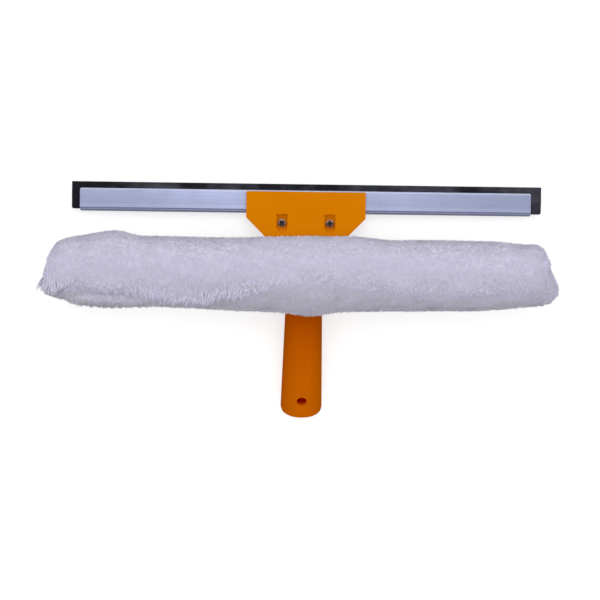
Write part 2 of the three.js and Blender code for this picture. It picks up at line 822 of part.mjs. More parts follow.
// A bent plate that follows the sleeve between two angles, from one depth under its surface to another
function sleeve_plate(left, right, low_angle, high_angle, outer, inner) {
  const points = [];
  const index = [];
  const grid = (layer, station, step) => (layer * plate_stations + station) * plate_steps + step;
  [outer, inner].forEach((inset) => {
    for (let station = 0; station < plate_stations; station += 1) {
      for (let step = 0; step < plate_steps; step += 1) {
        const x = mix(left, right, station / (plate_stations - 1));
        const angle = radians(mix(low_angle, high_angle, step / (plate_steps - 1)));
        points.push(sleeve_point(x, angle, inset));
      }
    }
  });
  const quad = (a, b, c, d) => index.push(a, b, c, a, c, d);
  for (let station = 0; station < plate_stations - 1; station += 1) {
    for (let step = 0; step < plate_steps - 1; step += 1) {
      const corners = [[station, step], [station, step + 1], [station + 1, step + 1], [station + 1, step]];
      quad(...corners.map(([row, column]) => grid(0, row, column)));
      quad(...corners.reverse().map(([row, column]) => grid(1, row, column)));
    }
  }
  const rim = [];
  for (let step = 0; step < plate_steps - 1; step += 1) {
    rim.push([0, step]);
  }
  for (let station = 0; station < plate_stations - 1; station += 1) {
    rim.push([station, plate_steps - 1]);
  }
  for (let step = plate_steps - 1; step > 0; step -= 1) {
    rim.push([plate_stations - 1, step]);
  }
  for (let station = plate_stations - 1; station > 0; station -= 1) {
    rim.push([station, 0]);
  }
  rim.forEach(([row, column], place) => {
    const [next_row, next_column] = rim[(place + 1) % rim.length];
    quad(
      grid(0, next_row, next_column),
      grid(0, row, column),
      grid(1, row, column),
      grid(1, next_row, next_column),
    );
  });
  const geometry = new THREE.BufferGeometry().setFromPoints(points);
  geometry.setIndex(index);
  return solid_of(geometry);
}

const loop_depth = flap_thickness + layer_gap;
const hook_depth = loop_depth + tape_thickness + layer_gap;
const recess_depth_in_sleeve = hook_depth + tape_thickness + layer_gap;
const flap_left = flap_from_end - sleeve_left_end;
const flap_right = flap_left + flap_length;

// Fleece sleeve: a swollen tube round the bar, open at its left end and slit along its back
function build_sleeve() {
  const rings = Array.from({ length: sleeve_stations + 1 }, (_, station) => {
    const across = Math.cos((Math.PI * station) / sleeve_stations);
    const even = 1 - (2 * station) / sleeve_stations;
    const middle = (sleeve_right_end - sleeve_left_end) / 2;
    const x = middle - ((sleeve_left_end + sleeve_right_end) / 2) * mix(even, across, sleeve_crowding_share);
    return Array.from({ length: sleeve_steps }, (_, step) => (
      sleeve_point(x, (2 * Math.PI * step) / sleeve_steps, 0)
    ));
  });
  const room = (low_x, high_x) => box(
    [low_x, bar_up_the_handle - bar_height / 2 - sleeve_bar_gap, bar_back - sleeve_bar_gap],
    [high_x, bar_up_the_handle + bar_height / 2 + sleeve_bar_gap, bar_front + sleeve_bar_gap],
  );
  const bar_room = room(-sleeve_left_end - cut_overrun, bar_length / 2 + sleeve_bar_gap);
  const slit = box(
    [-sleeve_left_end - cut_overrun, bar_up_the_handle - post_height / 2 - slit_side_gap, -sleeve_thickness],
    [post_width / 2 + slit_side_gap, bar_up_the_handle + post_height / 2 + slit_side_gap, bar_front_of_grip],
  );
  const recess = sleeve_plate(
    flap_left - recess_side_gap,
    flap_right + recess_side_gap,
    flap_low_angle - recess_turn_angle,
    flap_root_angle + recess_turn_angle,
    -cut_overrun,
    recess_depth_in_sleeve,
  );
  return named('fleece_sleeve', cut(loft(rings), bar_room, slit, recess), 'fleece');
}

function build_flap() {
  const plate = sleeve_plate(flap_left, flap_right, flap_low_angle, flap_root_angle, 0, flap_thickness);
  return named('closure_flap', plate, 'fleece');
}

function build_tape(name, depth) {
  const left = flap_left + tape_inset;
  const right = flap_right - tape_inset;
  const plate = sleeve_plate(left, right, tape_low_angle, tape_high_angle, depth, depth + tape_thickness);
  return named(name, plate, 'tape');
}

// The pieces in the head's axes, and those in the grip's axes
const head = new THREE.Group();
const grip = new THREE.Group();
grip.rotation.x = radians(head_bend);

const clamp_turns = [left_recess_turn, right_recess_turn];
const sides = ['left', 'right'];
sides.forEach((side, place) => {
  const x = clamp_screw_places[place];
  const clamp_screw = build_screw(`clamp_screw_${side}`, clamp_screw_length, clamp_turns[place]);
  clamp_screw.position.set(x, clamp_screw_height, pocket_floor + seat_gap);
  head.add(clamp_screw, build_nut(`clamp_nut_${side}`, x));
  const bar_screw = build_screw(`bar_screw_${side}`, bar_screw_length, clamp_turns[place]);
  bar_screw.position.set(bar_screw_places[place], bar_up_the_handle, bar_screw_seat);
  grip.add(bar_screw);
});

head.add(build_handle(), build_rear_jaw(), build_channel(), build_rubber());
grip.add(build_bar(), build_sleeve(), build_flap());
grip.add(build_tape('loop_tape', loop_depth), build_tape('hook_tape', hook_depth));
head.add(grip);

// Lay the tool down: both contacts, the rubber's back edge and the handle's end, on the ground
const rubber_contact = [head_reach, -rubber_edge_thickness / 2];
const handle_contact = grip_to_head(-grip_length + grip_end_rounding, -grip_end_back);
const lying_tilt = Math.atan2(
  rubber_contact[1] - handle_contact[1],
  rubber_contact[0] - handle_contact[0],
);
head.rotation.x = -lying_tilt;

const part = new THREE.Group();
part.add(head);
part.updateMatrixWorld(true);
const bounds = new THREE.Box3().setFromObject(part, true);
part.position.set(
  -(bounds.min.x + bounds.max.x) / 2,
  -(bounds.min.y + bounds.max.y) / 2,
  -bounds.min.z,
);

export default part;
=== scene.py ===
import json
import math

import bmesh
import bpy
import numpy as np
from mathutils import Matrix, Vector
from mathutils.bvhtree import BVHTree


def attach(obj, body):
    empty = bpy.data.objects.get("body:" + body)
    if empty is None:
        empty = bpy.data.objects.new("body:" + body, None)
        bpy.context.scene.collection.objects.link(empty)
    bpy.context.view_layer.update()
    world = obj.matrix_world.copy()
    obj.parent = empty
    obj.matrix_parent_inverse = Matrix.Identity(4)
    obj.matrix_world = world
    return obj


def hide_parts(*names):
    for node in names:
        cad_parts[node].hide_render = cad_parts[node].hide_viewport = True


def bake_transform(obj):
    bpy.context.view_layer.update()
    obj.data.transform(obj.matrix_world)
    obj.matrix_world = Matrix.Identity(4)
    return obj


# A window squeegee with a fleece washer across its neck, lying on its back.
# Lengths are in metres. The head's axes run across the blade, up the head and out of its front.

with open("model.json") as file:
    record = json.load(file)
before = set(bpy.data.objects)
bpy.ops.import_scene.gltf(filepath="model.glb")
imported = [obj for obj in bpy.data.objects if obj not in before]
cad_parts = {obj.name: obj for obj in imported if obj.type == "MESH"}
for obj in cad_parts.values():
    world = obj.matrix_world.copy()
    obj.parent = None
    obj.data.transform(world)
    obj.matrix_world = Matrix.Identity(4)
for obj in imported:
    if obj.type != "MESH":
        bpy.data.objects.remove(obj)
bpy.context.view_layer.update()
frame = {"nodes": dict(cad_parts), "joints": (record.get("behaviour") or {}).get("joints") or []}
NODES = frame["nodes"]
JOINTS = {joint["name"]: joint for joint in frame["joints"]}

MM = 0.001
SEED = 41

# Sizes of the head, the screws and the sleeve
HEAD_BEND = math.radians(31)
HEAD_FACE_SLOPE = math.radians(18)
HEAD_FACE_AT_SCREWS = 10.24 * MM
SCREW_LEVEL = 28.8 * MM
SCREW_FROM_MIDDLE = 17.8 * MM
GRIP_FRONT_AT_TOP = 12.5 * MM
BAR_UP_THE_HANDLE = 11.2 * MM
SLEEVE_THICKNESS = 40 * MM
SLEEVE_ABOVE_GRIP = 1.8 * MM
SCREW_HEAD_HEIGHT = 2.4 * MM
RECESS_REACH = 2.3 * MM
RECESS_DEPTH = 1.6 * MM

# Where shade is painted on the orange mouldings: inside the socket, deep in the catch hole and in the screw
# pockets
SOCKET_REACH = 8.2 * MM
SOCKET_RIM = 0.2 * MM
SOCKET_STOP = 42 * MM
GRIP_LENGTH = 135 * MM
HOLE_FROM_END = 16.5 * MM
HOLE_RADIUS = 4 * MM
HOLE_DARK_FROM = 12.6 * MM
HOLE_DARK_RUN = 0.8 * MM
POCKET_HALF = 4.4 * MM
POCKET_RUN = 8.6 * MM
POCKET_SHADE_DROP = 2.6 * MM
POCKET_SHADE_STRENGTH = 0.32
POCKET_SUNK = (0.1 * MM, 0.6 * MM)

# The wider round of the front jaw
RIM_FROM_MIDDLE = 24 * MM
RIM_LOW_LEVEL = 12 * MM
RIM_FRONT = 4 * MM
RIM_ROUND = 1.1 * MM
SIDE_FACING = 0.2
FRONT_FACING = 0.9

# The washer bar's corners
BAR_CORNER = 9 * MM
SLAB_MARGIN = 0.1 * MM

# Masks of a screw's head: the depth of its cross, for painted shade, and the radius of its rim, for a
# painted highlight
RECESS_SHADE = (0.1 * MM, 0.8 * MM)
RIM_HIGHLIGHT_RADII = (2.5 * MM, 2.9 * MM)

# How the solids are joined and rounded
MERGE_DISTANCE = 0.002 * MM
FLAT_ANGLE = math.radians(1.5)
SMOOTH_ANGLE = math.radians(34)

# The camera, in the head's axes
VIEW_TILT = math.radians(2.07)
VIEW_TURN = math.radians(1.26)
VIEW_ROLL = math.radians(-0.72)
VIEW_SIDEWAYS = -3.78 * MM
VIEW_UP = -28.38 * MM
VIEW_DISTANCE = 1374 * MM
VIEW_LENS_MM = 110.3


def joint_place(name):
    return Vector(JOINTS[name]["pos_m"])


ACROSS = Vector((1, 0, 0))
HEAD_FRONT = Vector(JOINTS["clamp_screw_left_turn"]["axis"]).normalized()
HEAD_UP = HEAD_FRONT.cross(ACROSS)
SCREW_MIDDLE = (joint_place("clamp_screw_left_turn") + joint_place("clamp_screw_right_turn")) / 2
HEAD_ORIGIN = SCREW_MIDDLE - HEAD_UP * SCREW_LEVEL
GRIP_UP = HEAD_UP * math.cos(HEAD_BEND) + HEAD_FRONT * math.sin(HEAD_BEND)
GRIP_FRONT = HEAD_FRONT * math.cos(HEAD_BEND) - HEAD_UP * math.sin(HEAD_BEND)
HEAD_AXES = Matrix((ACROSS, HEAD_UP, HEAD_FRONT)).transposed()
GRIP_AXES = Matrix((ACROSS, GRIP_UP, GRIP_FRONT)).transposed()
BAR_FRONT_OF_GRIP = GRIP_FRONT_AT_TOP + SLEEVE_ABOVE_GRIP + SLEEVE_THICKNESS / 2
BAR_MIDDLE = HEAD_ORIGIN + GRIP_UP * BAR_UP_THE_HANDLE + GRIP_FRONT * BAR_FRONT_OF_GRIP


# Materials: node helpers and shared surface effects

SPOT_SHARPNESS = 12.0

# Straight ramps as (slope, start): along the handle, where the grip starts and where the sleeve's shadow is
# painted near the neck, up the channel, where a highlight is painted on its lip and shade on its foot, and
# along the rubber
ON_GRIP = (-40.0, 1.8)
SLEEVE_SHADOW_RAMP = (14.0, 0.85)
LIP_HIGHLIGHT_RAMP = (14.0, -12.9)
FOOT_SHADE_RAMP = (-16.0, 2.2)
STEP_RAMP = (-12.0, 4.4)
DUST_RAMP = (1.0, -1.42)
DUST_PATCHES = 3.2


def linear(red, green, blue):
    """A colour given as it looks on a screen, 0 to 255, as Blender stores it."""
    def channel(value):
        value = value / 255
        return value / 12.92 if value <= 0.04045 else ((value + 0.055) / 1.055) ** 2.4
    return channel(red), channel(green), channel(blue), 1


def new_group(name, output, **values):
    """A node group that takes a vector and some numbers, and gives one number."""
    group = bpy.data.node_groups.new(name, "ShaderNodeTree")
    sockets = group.interface
    sockets.new_socket(name="Vector", in_out="INPUT", socket_type="NodeSocketVector")
    for title, value in values.items():
        socket = sockets.new_socket(name=title, in_out="INPUT", socket_type="NodeSocketFloat")
        socket.default_value = value
    sockets.new_socket(name=output, in_out="OUTPUT", socket_type="NodeSocketFloat")
    return group, group.nodes.new("NodeGroupInput"), group.nodes.new("NodeGroupOutput")


def node(tree, kind, values=None, **settings):
    """A node with its settings, and values on its input sockets by name or number."""
    made = tree.nodes.new(kind)
    for key, value in settings.items():
        setattr(made, key, value)
    for key, value in (values or {}).items():
        made.inputs[key].default_value = value
    return made


def math_node(tree, operation, first, second=None, third=None, clamp=False):
    made = node(tree, "ShaderNodeMath", operation=operation, use_clamp=clamp)
    for place, value in enumerate((first, second, third)):
        if value is None:
            continue
        if isinstance(value, (int, float)):
            made.inputs[place].default_value = value
        else:
            tree.links.new(value, made.inputs[place])
    return made.outputs[0]


def split(tree, vector):
    made = node(tree, "ShaderNodeSeparateXYZ")
    tree.links.new(vector, made.inputs[0])
    return made.outputs


def noise(group, source, vector, detail, roughness):
    made = node(group, "ShaderNodeTexNoise", {"Detail": detail, "Roughness": roughness})
    group.links.new(vector, made.inputs["Vector"])
    group.links.new(source.outputs["Scale"], made.inputs["Scale"])
    return made.outputs[0]


def blend_colours(tree, share, first, second, most=None):
    """first where share is 0 and second where it is 1, with the share scaled by most."""
    if most is not None:
        share = math_node(tree, "MULTIPLY", share, most)
    made = node(tree, "ShaderNodeMix", data_type="RGBA")
    for socket, value in zip((made.inputs[0], made.inputs[6], made.inputs[7]), (share, first, second)):
        if isinstance(value, (int, float, tuple)):
            socket.default_value = value
        else:
            tree.links.new(value, socket)
    return made.outputs[2]


def cloud_group():
    """Slow uneven tone, 0 to 1, the same in all directions."""
    group, source, sink = new_group("Uneven tone", "Tone", Scale=40.0)
    clouds = noise(group, source, source.outputs["Vector"], 3.0, 0.6)
    group.links.new(clouds, sink.inputs["Tone"])
    return group


def speckle_group():
    """Small spots on a plain ground: Mask is 1 on a spot."""
    group, source, sink = new_group("Small spots", "Mask", Scale=300.0, Cover=0.3)
    spots = noise(group, source, source.outputs["Vector"], 2.0, 0.55)
    bare = math_node(group, "SUBTRACT", 1.0, source.outputs["Cover"])
    over = math_node(group, "SUBTRACT", spots, bare)
    group.links.new(math_node(group, "MULTIPLY", over, SPOT_SHARPNESS, clamp=True), sink.inputs["Mask"])
    return group


def scratch_group():
    """Fine lines along the blade: Lines is 0 to 1."""
    group, source, sink = new_group("Fine lines along", "Lines", Scale=900.0, Stretch=0.02)
    along, *others = split(group, source.outputs["Vector"])
    joined = node(group, "ShaderNodeCombineXYZ")
    stretched = math_node(group, "MULTIPLY", along, source.outputs["Stretch"])
    for socket, value in zip(joined.inputs, (stretched, *others)):
        group.links.new(value, socket)
    lines = noise(group, source, joined.outputs[0], 4.0, 0.7)
    group.links.new(lines, sink.inputs["Lines"])
    return group


CLOUDS = cloud_group()
SPOTS = speckle_group()
SCRATCHES = scratch_group()


def place_group(tree, group, vector, **values):
    made = node(tree, "ShaderNodeGroup")
    made.node_tree = group
    tree.links.new(vector, made.inputs["Vector"])
    for key, value in values.items():
        made.inputs[key].default_value = value
    return made.outputs[0]


def new_material(name, **shader_values):
    """A material with a Principled shader; its constants are set on the shader's own sockets."""
    material = bpy.data.materials.new(name)
    material.use_nodes = True
    tree = material.node_tree
    shader = tree.nodes["Principled BSDF"]
    for key, value in shader_values.items():
        shader.inputs[key.replace("_", " ")].default_value = value
    place = node(tree, "ShaderNodeTexCoord").outputs["Object"]
    return material, tree, shader, place


def feed(tree, shader, colour, tone, run, start):
    """Leads a colour into a shader, and a roughness that varies with a tone."""
    tree.links.new(colour, shader.inputs["Base Color"])
    tree.links.new(math_node(tree, "MULTIPLY_ADD", tone, run, start), shader.inputs["Roughness"])


def bump(tree, shader, height, strength, distance):
    made = node(tree, "ShaderNodeBump", {"Strength": strength, "Distance": distance})
    tree.links.new(height, made.inputs["Height"])
    tree.links.new(made.outputs[0], shader.inputs["Normal"])


def attribute(tree, name):
    return node(tree, "ShaderNodeAttribute", attribute_name=name).outputs["Fac"]


def along_axis(tree, place, axis, origin):
    """How far a place lies from origin along an axis."""
    made = node(tree, "ShaderNodeVectorMath", {1: axis}, operation="DOT_PRODUCT")
    tree.links.new(place, made.inputs[0])
    return math_node(tree, "SUBTRACT", made.outputs["Value"], origin.dot(axis))


def length_of(tree, first, second):
    joined = node(tree, "ShaderNodeCombineXYZ")
    tree.links.new(first, joined.inputs[0])
    tree.links.new(second, joined.inputs[1])
    made = node(tree, "ShaderNodeVectorMath", operation="LENGTH")
    tree.links.new(joined.outputs[0], made.inputs[0])
    return made.outputs["Value"]


def falling(tree, value, full, none):
    """1 where value is at full or less, and 0 from none on."""
    slope = 1 / (full - none)
    return math_node(tree, "MULTIPLY_ADD", value, slope, -none * slope, clamp=True)


def inside_grip(tree, place):
    """Where shade is painted: 1 inside the pole socket and deep in the catch hole, and 0 on the outside of
    the grip.
    """
    up = along_axis(tree, place, GRIP_UP, HEAD_ORIGIN)
    front = along_axis(tree, place, GRIP_FRONT, HEAD_ORIGIN)
    across = along_axis(tree, place, ACROSS, HEAD_ORIGIN)
    in_socket = falling(tree, length_of(tree, across, front), SOCKET_REACH - SOCKET_RIM, SOCKET_REACH)
    in_socket = math_node(tree, "MULTIPLY", in_socket, falling(tree, up, -SOCKET_STOP - MM, -SOCKET_STOP))
    from_hole = length_of(tree, across, math_node(tree, "ADD", up, GRIP_LENGTH - HOLE_FROM_END))
    in_hole = falling(tree, from_hole, HOLE_RADIUS, HOLE_RADIUS + SOCKET_RIM)
    deep = falling(tree, front, HOLE_DARK_FROM - HOLE_DARK_RUN, HOLE_DARK_FROM)
    in_hole = math_node(tree, "MULTIPLY", in_hole, deep)
    return math_node(tree, "MAXIMUM", in_socket, in_hole)


def orange_plastic():
    """Orange on the head, deeper on the grip, with painted shade: the sleeve's shadow by the neck, the
    turned edges, the screw pockets, the socket and the catch hole.
    """
    material, tree, shader, place = new_material("orange moulded plastic", Specular_IOR_Level=0.0)
    tone = place_group(tree, CLOUDS, place, Scale=28.0)
    head = blend_colours(tree, tone, linear(211, 120, 2), linear(224, 132, 4))
    along = split(tree, place)[1]
    on_grip = math_node(tree, "MULTIPLY_ADD", along, *ON_GRIP, clamp=True)
    # Painted shadow of the sleeve: the grip darkens towards the neck, under the sleeve
    painted_sleeve_shadow = math_node(tree, "MULTIPLY_ADD", along, *SLEEVE_SHADOW_RAMP, clamp=True)
    clear = blend_colours(tree, tone, linear(201, 97, 1), linear(213, 106, 2))
    grip = blend_colours(tree, painted_sleeve_shadow, clear, linear(190, 80, 1))
    base = blend_colours(tree, on_grip, head, grip)
    on_head = math_node(tree, "SUBTRACT", 1.0, on_grip)
    # Painted shade: an olive darkening on edges that turn away from the head's front, left off the grip
    rim = math_node(tree, "MULTIPLY", attribute(tree, "painted_edge_shade"), on_head)
    edge_shaded = blend_colours(tree, rim, base, linear(186, 122, 6))
    # Painted shade in the screw pockets: redder and darker the deeper the floor sinks
    sunk = blend_colours(tree, attribute(tree, "painted_recess_shade"), edge_shaded, linear(112, 18, 1))
    # Painted shade inside the pole socket and the catch hole: a deep red
    deep = blend_colours(tree, inside_grip(tree, place), sunk, linear(196, 30, 2))
    specks = place_group(tree, SPOTS, place, Scale=900.0, Cover=0.24)
    colour = blend_colours(tree, specks, deep, linear(140, 74, 10), most=0.25)
    grain = place_group(tree, CLOUDS, place, Scale=1400.0)
    feed(tree, shader, colour, tone, 0.14, 0.4)
    bump(tree, shader, grain, 0.2, 0.00005)
    return material


def aluminium():
    """Brushed along its length, with a painted highlight on its upper lip and painted shade on its foot
    below the groove.
    """
    material, tree, shader, place = new_material("worn aluminium", Metallic=0.85)
    lines = place_group(tree, SCRATCHES, place, Scale=1500.0, Stretch=0.02)
    tone = place_group(tree, CLOUDS, place, Scale=35.0)
    base = blend_colours(tree, lines, linear(126, 132, 158), linear(154, 160, 187))
    level = attribute(tree, "channel_level")
    # Painted highlight along the upper lip and painted shade on the foot, by height up the channel
    lip = math_node(tree, "MULTIPLY_ADD", level, *LIP_HIGHLIGHT_RAMP, clamp=True)
    foot_shade = math_node(tree, "MULTIPLY_ADD", level, *FOOT_SHADE_RAMP, clamp=True)
    step = math_node(tree, "MULTIPLY_ADD", level, *STEP_RAMP, clamp=True)
    stepped = blend_colours(tree, step, base, linear(170, 176, 204), most=0.3)
    lip_highlighted = blend_colours(tree, lip, stepped, linear(205, 212, 236))
    foot_shaded = blend_colours(tree, foot_shade, lip_highlighted, linear(118, 119, 141), most=0.8)
    pits = place_group(tree, SPOTS, place, Scale=520.0, Cover=0.27)
    marks = place_group(tree, SPOTS, place, Scale=90.0, Cover=0.29)
    dull = blend_colours(tree, pits, foot_shaded, linear(96, 92, 104), most=0.5)
    worn = blend_colours(tree, marks, dull, linear(128, 118, 124), most=0.35)
    feed(tree, shader, worn, tone, 0.2, 0.44)
    bump(tree, shader, lines, 0.25, 0.00006)
    return material


def black_rubber():
    """Streaked along its length and dustier towards the right."""
    material, tree, shader, place = new_material("worn black rubber", Specular_IOR_Level=0.12)
    streaks = place_group(tree, SCRATCHES, place, Scale=420.0, Stretch=0.12)
    dusty = place_group(tree, CLOUDS, place, Scale=22.0)
    from_left = math_node(tree, "MULTIPLY_ADD", split(tree, place)[0], *DUST_RAMP)
    patches = math_node(tree, "MULTIPLY_ADD", dusty, DUST_PATCHES, from_left, clamp=True)
    dust = math_node(tree, "MULTIPLY", patches, streaks)
    colour = blend_colours(tree, dust, linear(16, 15, 24), linear(120, 120, 138))
    feed(tree, shader, colour, streaks, 0.3, 0.55)
    bump(tree, shader, streaks, 0.35, 0.0001)
    return material


def screw_steel():
    """Brown as a painted reflection of the orange pocket round the head, with a painted highlight round the
    rim and painted shade black in the cross.
    """
    material, tree, shader, place = new_material("plated screw steel", Metallic=0.8)
    tone = place_group(tree, CLOUDS, place, Scale=500.0)
    # Painted reflection: brown for the orange pocket round the head
    painted_reflection = blend_colours(tree, tone, linear(62, 38, 28), linear(106, 74, 58))
    rimmed = blend_colours(tree, attribute(tree, "painted_rim_highlight"), painted_reflection, linear(204, 182, 170))
    colour = blend_colours(tree, attribute(tree, "painted_recess_shade"), rimmed, linear(16, 12, 12))
    feed(tree, shader, colour, tone, 0.2, 0.34)
    bump(tree, shader, tone, 0.2, 0.00005)
    return material


def white_plastic():
    material, tree, shader, place = new_material("white moulded plastic", Specular_IOR_Level=0.4)
    tone = place_group(tree, CLOUDS, place, Scale=45.0)
    colour = blend_colours(tree, tone, linear(214, 213, 206), linear(232, 232, 228))
    grain = place_group(tree, CLOUDS, place, Scale=1500.0)
    feed(tree, shader, colour, tone, 0.1, 0.45)
    bump(tree, shader, grain, 0.25, 0.00006)
    return material


def fleece():
    """Pale lavender pile with a few tan specks along its crown, and painted shade in grey underneath, in the
    fold and high up, streaked like the knit.
    """
    material, tree, shader, place = new_material("washer fleece", Roughness=0.95, Specular_IOR_Level=0.05)
    shader.inputs["Sheen Weight"].default_value = 0.3
    shader.inputs["Sheen Roughness"].default_value = 0.6
    height = attribute(tree, "pile_height")
    tone = attribute(tree, "pile_tone")
    clouds = place_group(tree, CLOUDS, place, Scale=55.0)
    deep = blend_colours(tree, tone, linear(214, 211, 237), linear(220, 217, 242))
    tips = blend_colours(tree, tone, linear(223, 221, 247), linear(229, 227, 252))
    pile = blend_colours(tree, height, deep, tips)
    worn = blend_colours(tree, clouds, pile, linear(220, 217, 239), most=0.3)
    # Painted shade: grey underneath, in the fold and high up
    shaded_and_ribbed = blend_colours(tree, attribute(tree, "pile_shade_and_ribs"), worn, linear(211, 207, 220))
    specks = place_group(tree, SPOTS, place, Scale=400.0, Cover=0.51)
    warm = math_node(tree, "MULTIPLY", specks, attribute(tree, "pile_soil"))
    soiled = blend_colours(tree, warm, shaded_and_ribbed, linear(188, 174, 172), most=0.5)
    tree.links.new(soiled, shader.inputs["Base Color"])
    fuzz = place_group(tree, CLOUDS, place, Scale=900.0)
    bump(tree, shader, fuzz, 0.3, 0.0003)
    return material


def woven_tape(name, first, second):
    material, tree, shader, place = new_material(name, Roughness=0.85, Specular_IOR_Level=0.2)
    rows = place_group(tree, SPOTS, place, Scale=1100.0, Cover=0.5)
    tree.links.new(blend_colours(tree, rows, first, second), shader.inputs["Base Color"])
    bump(tree, shader, rows, 0.8, 0.0003)
    return material


MATERIALS = {
    "orange_plastic": orange_plastic(),
    "aluminium": aluminium(),
    "black_rubber": black_rubber(),
    "steel": screw_steel(),
    "white_plastic": white_plastic(),
    "fleece": fleece(),
    "hook_tape": woven_tape("hook tape", linear(196, 196, 204), linear(150, 150, 162)),
    "loop_tape": woven_tape("loop tape", linear(208, 206, 214), linear(176, 174, 186)),
}


# Modelling helpers

def select_only(*objects):
    bpy.ops.object.select_all(action="DESELECT")
    for one in objects:
        one.select_set(True)
    bpy.context.view_layer.objects.active = objects[0]


def apply_modifiers(piece):
    select_only(piece)
    for modifier in list(piece.modifiers):
        bpy.ops.object.modifier_apply(modifier=modifier.name)


def merged_copy(node_name, piece_name):
    """A copy of a CAD node with its loose triangles joined into one skin."""
    source = NODES[node_name]
    piece = bpy.data.objects.new(piece_name, source.data.copy())
    piece.data.name = piece_name
    bpy.context.scene.collection.objects.link(piece)
    piece.data.materials.clear()
    select_only(piece)
    bpy.ops.object.mode_set(mode="EDIT")
    bpy.ops.mesh.select_all(action="SELECT")
    bpy.ops.mesh.remove_doubles(threshold=MERGE_DISTANCE)
    bpy.ops.mesh.dissolve_limited(angle_limit=FLAT_ANGLE)
    bpy.ops.object.mode_set(mode="OBJECT")
    return piece


def dress_piece(piece, slot, material, *replaced):
    """Gives a piece its material and hides the CAD nodes that it stands for."""
    piece.data.materials.clear()
    piece.data.materials.append(MATERIALS[material])
    if replaced:
        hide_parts(*replaced)


def finish_piece(piece, body, slot, material, *replaced):
    """Dresses a piece and lets it move with one body."""
    dress_piece(piece, slot, material, *replaced)
    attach(piece, body)


def round_edges(piece, width, edge_angle, segments=3):
    """Rounds the sharp edges of a shape as a mould or a saw leaves them."""
    rounding = piece.modifiers.new("rounded edges", "BEVEL")
    rounding.width = width
    rounding.segments = segments
    rounding.limit_method = "ANGLE"
    rounding.angle_limit = math.radians(edge_angle)
    rounding.use_clamp_overlap = True
    rounding.harden_normals = False
    apply_modifiers(piece)
    bpy.ops.object.shade_smooth_by_angle(angle=SMOOTH_ANGLE)
    return piece


def softened(node_name, piece_name, width, edge_angle, segments=3):
    return round_edges(merged_copy(node_name, piece_name), width, edge_angle, segments)


def vertex_array(mesh):
    flat = np.empty(len(mesh.vertices) * 3)
    mesh.vertices.foreach_get("co", flat)
    return flat.reshape(-1, 3)


def normal_array(mesh):
    flat = np.empty(len(mesh.vertices) * 3)
    mesh.vertex_normals.foreach_get("vector", flat)
    return flat.reshape(-1, 3)


def face_array(mesh, name):
    flat = np.empty(len(mesh.polygons) * 3)
    mesh.polygons.foreach_get(name, flat)
    return flat.reshape(-1, 3)


def move_vertices(mesh, points):
    mesh.vertices.foreach_set("co", points.ravel())
    mesh.update()


def bevel_edges(piece, chosen, **settings):
    """Bevels the edges of a piece that chosen says True to."""
    select_only(piece)
    bpy.ops.object.mode_set(mode="EDIT")
    bpy.ops.mesh.select_mode(type="EDGE")
    bpy.ops.mesh.select_all(action="DESELECT")
    shape = bmesh.from_edit_mesh(piece.data)
    for edge in shape.edges:
        edge.select_set(bool(chosen(edge)))
    bmesh.update_edit_mesh(piece.data)
    bpy.ops.mesh.bevel(affect="EDGES", **settings)
    bpy.ops.object.mode_set(mode="OBJECT")


def set_attribute(piece, name, values):
    layer = piece.data.attributes.new(name, "FLOAT", "POINT")
    layer.data.foreach_set("value", np.asarray(values, dtype=float))


def ramp_between(values, low, high):
    """0 below low, 1 above high and a smooth rise between them."""
    share = np.clip((values - low) / (high - low), 0, 1)
    return share * share * (3 - 2 * share)


def bell(values, middle, width):
    """1 at the middle, falling to nothing a few widths from it."""
    return np.exp(-(((values - middle) / width) ** 2))


def head_coordinates(points):
    """Points of the row frame as x, level up the head and distance in front of it."""
    return (points - np.array(HEAD_ORIGIN)) @ np.array(HEAD_AXES)


def grip_coordinates(points):
    """Points of the row frame as x, up and front from the middle of the washer bar."""
    return (points - np.array(BAR_MIDDLE)) @ np.array(GRIP_AXES)


def row_coordinates(points):
    """The inverse of grip_coordinates."""
    return points @ np.array(GRIP_AXES).T + np.array(BAR_MIDDLE)


# Hard pieces

def widen_plate_rim(piece):
    """A wider round along the free sides and shoulders of the front jaw."""
    front = np.array(HEAD_FRONT)

    def on_rim(edge):
        if len(edge.link_faces) != 2:
            return False
        facing = sorted(abs(float(np.dot(np.array(face.normal), front))) for face in edge.link_faces)
        middle = (edge.verts[0].co + edge.verts[1].co) / 2
        across, level, depth = head_coordinates(np.array([middle]))[0]
        shoulder = abs(across) > RIM_FROM_MIDDLE and level > RIM_LOW_LEVEL and depth > RIM_FRONT
        return shoulder and facing[0] < SIDE_FACING and facing[1] > FRONT_FACING

    bevel_edges(piece, on_rim, offset=RIM_ROUND, segments=4, clamp_overlap=True)


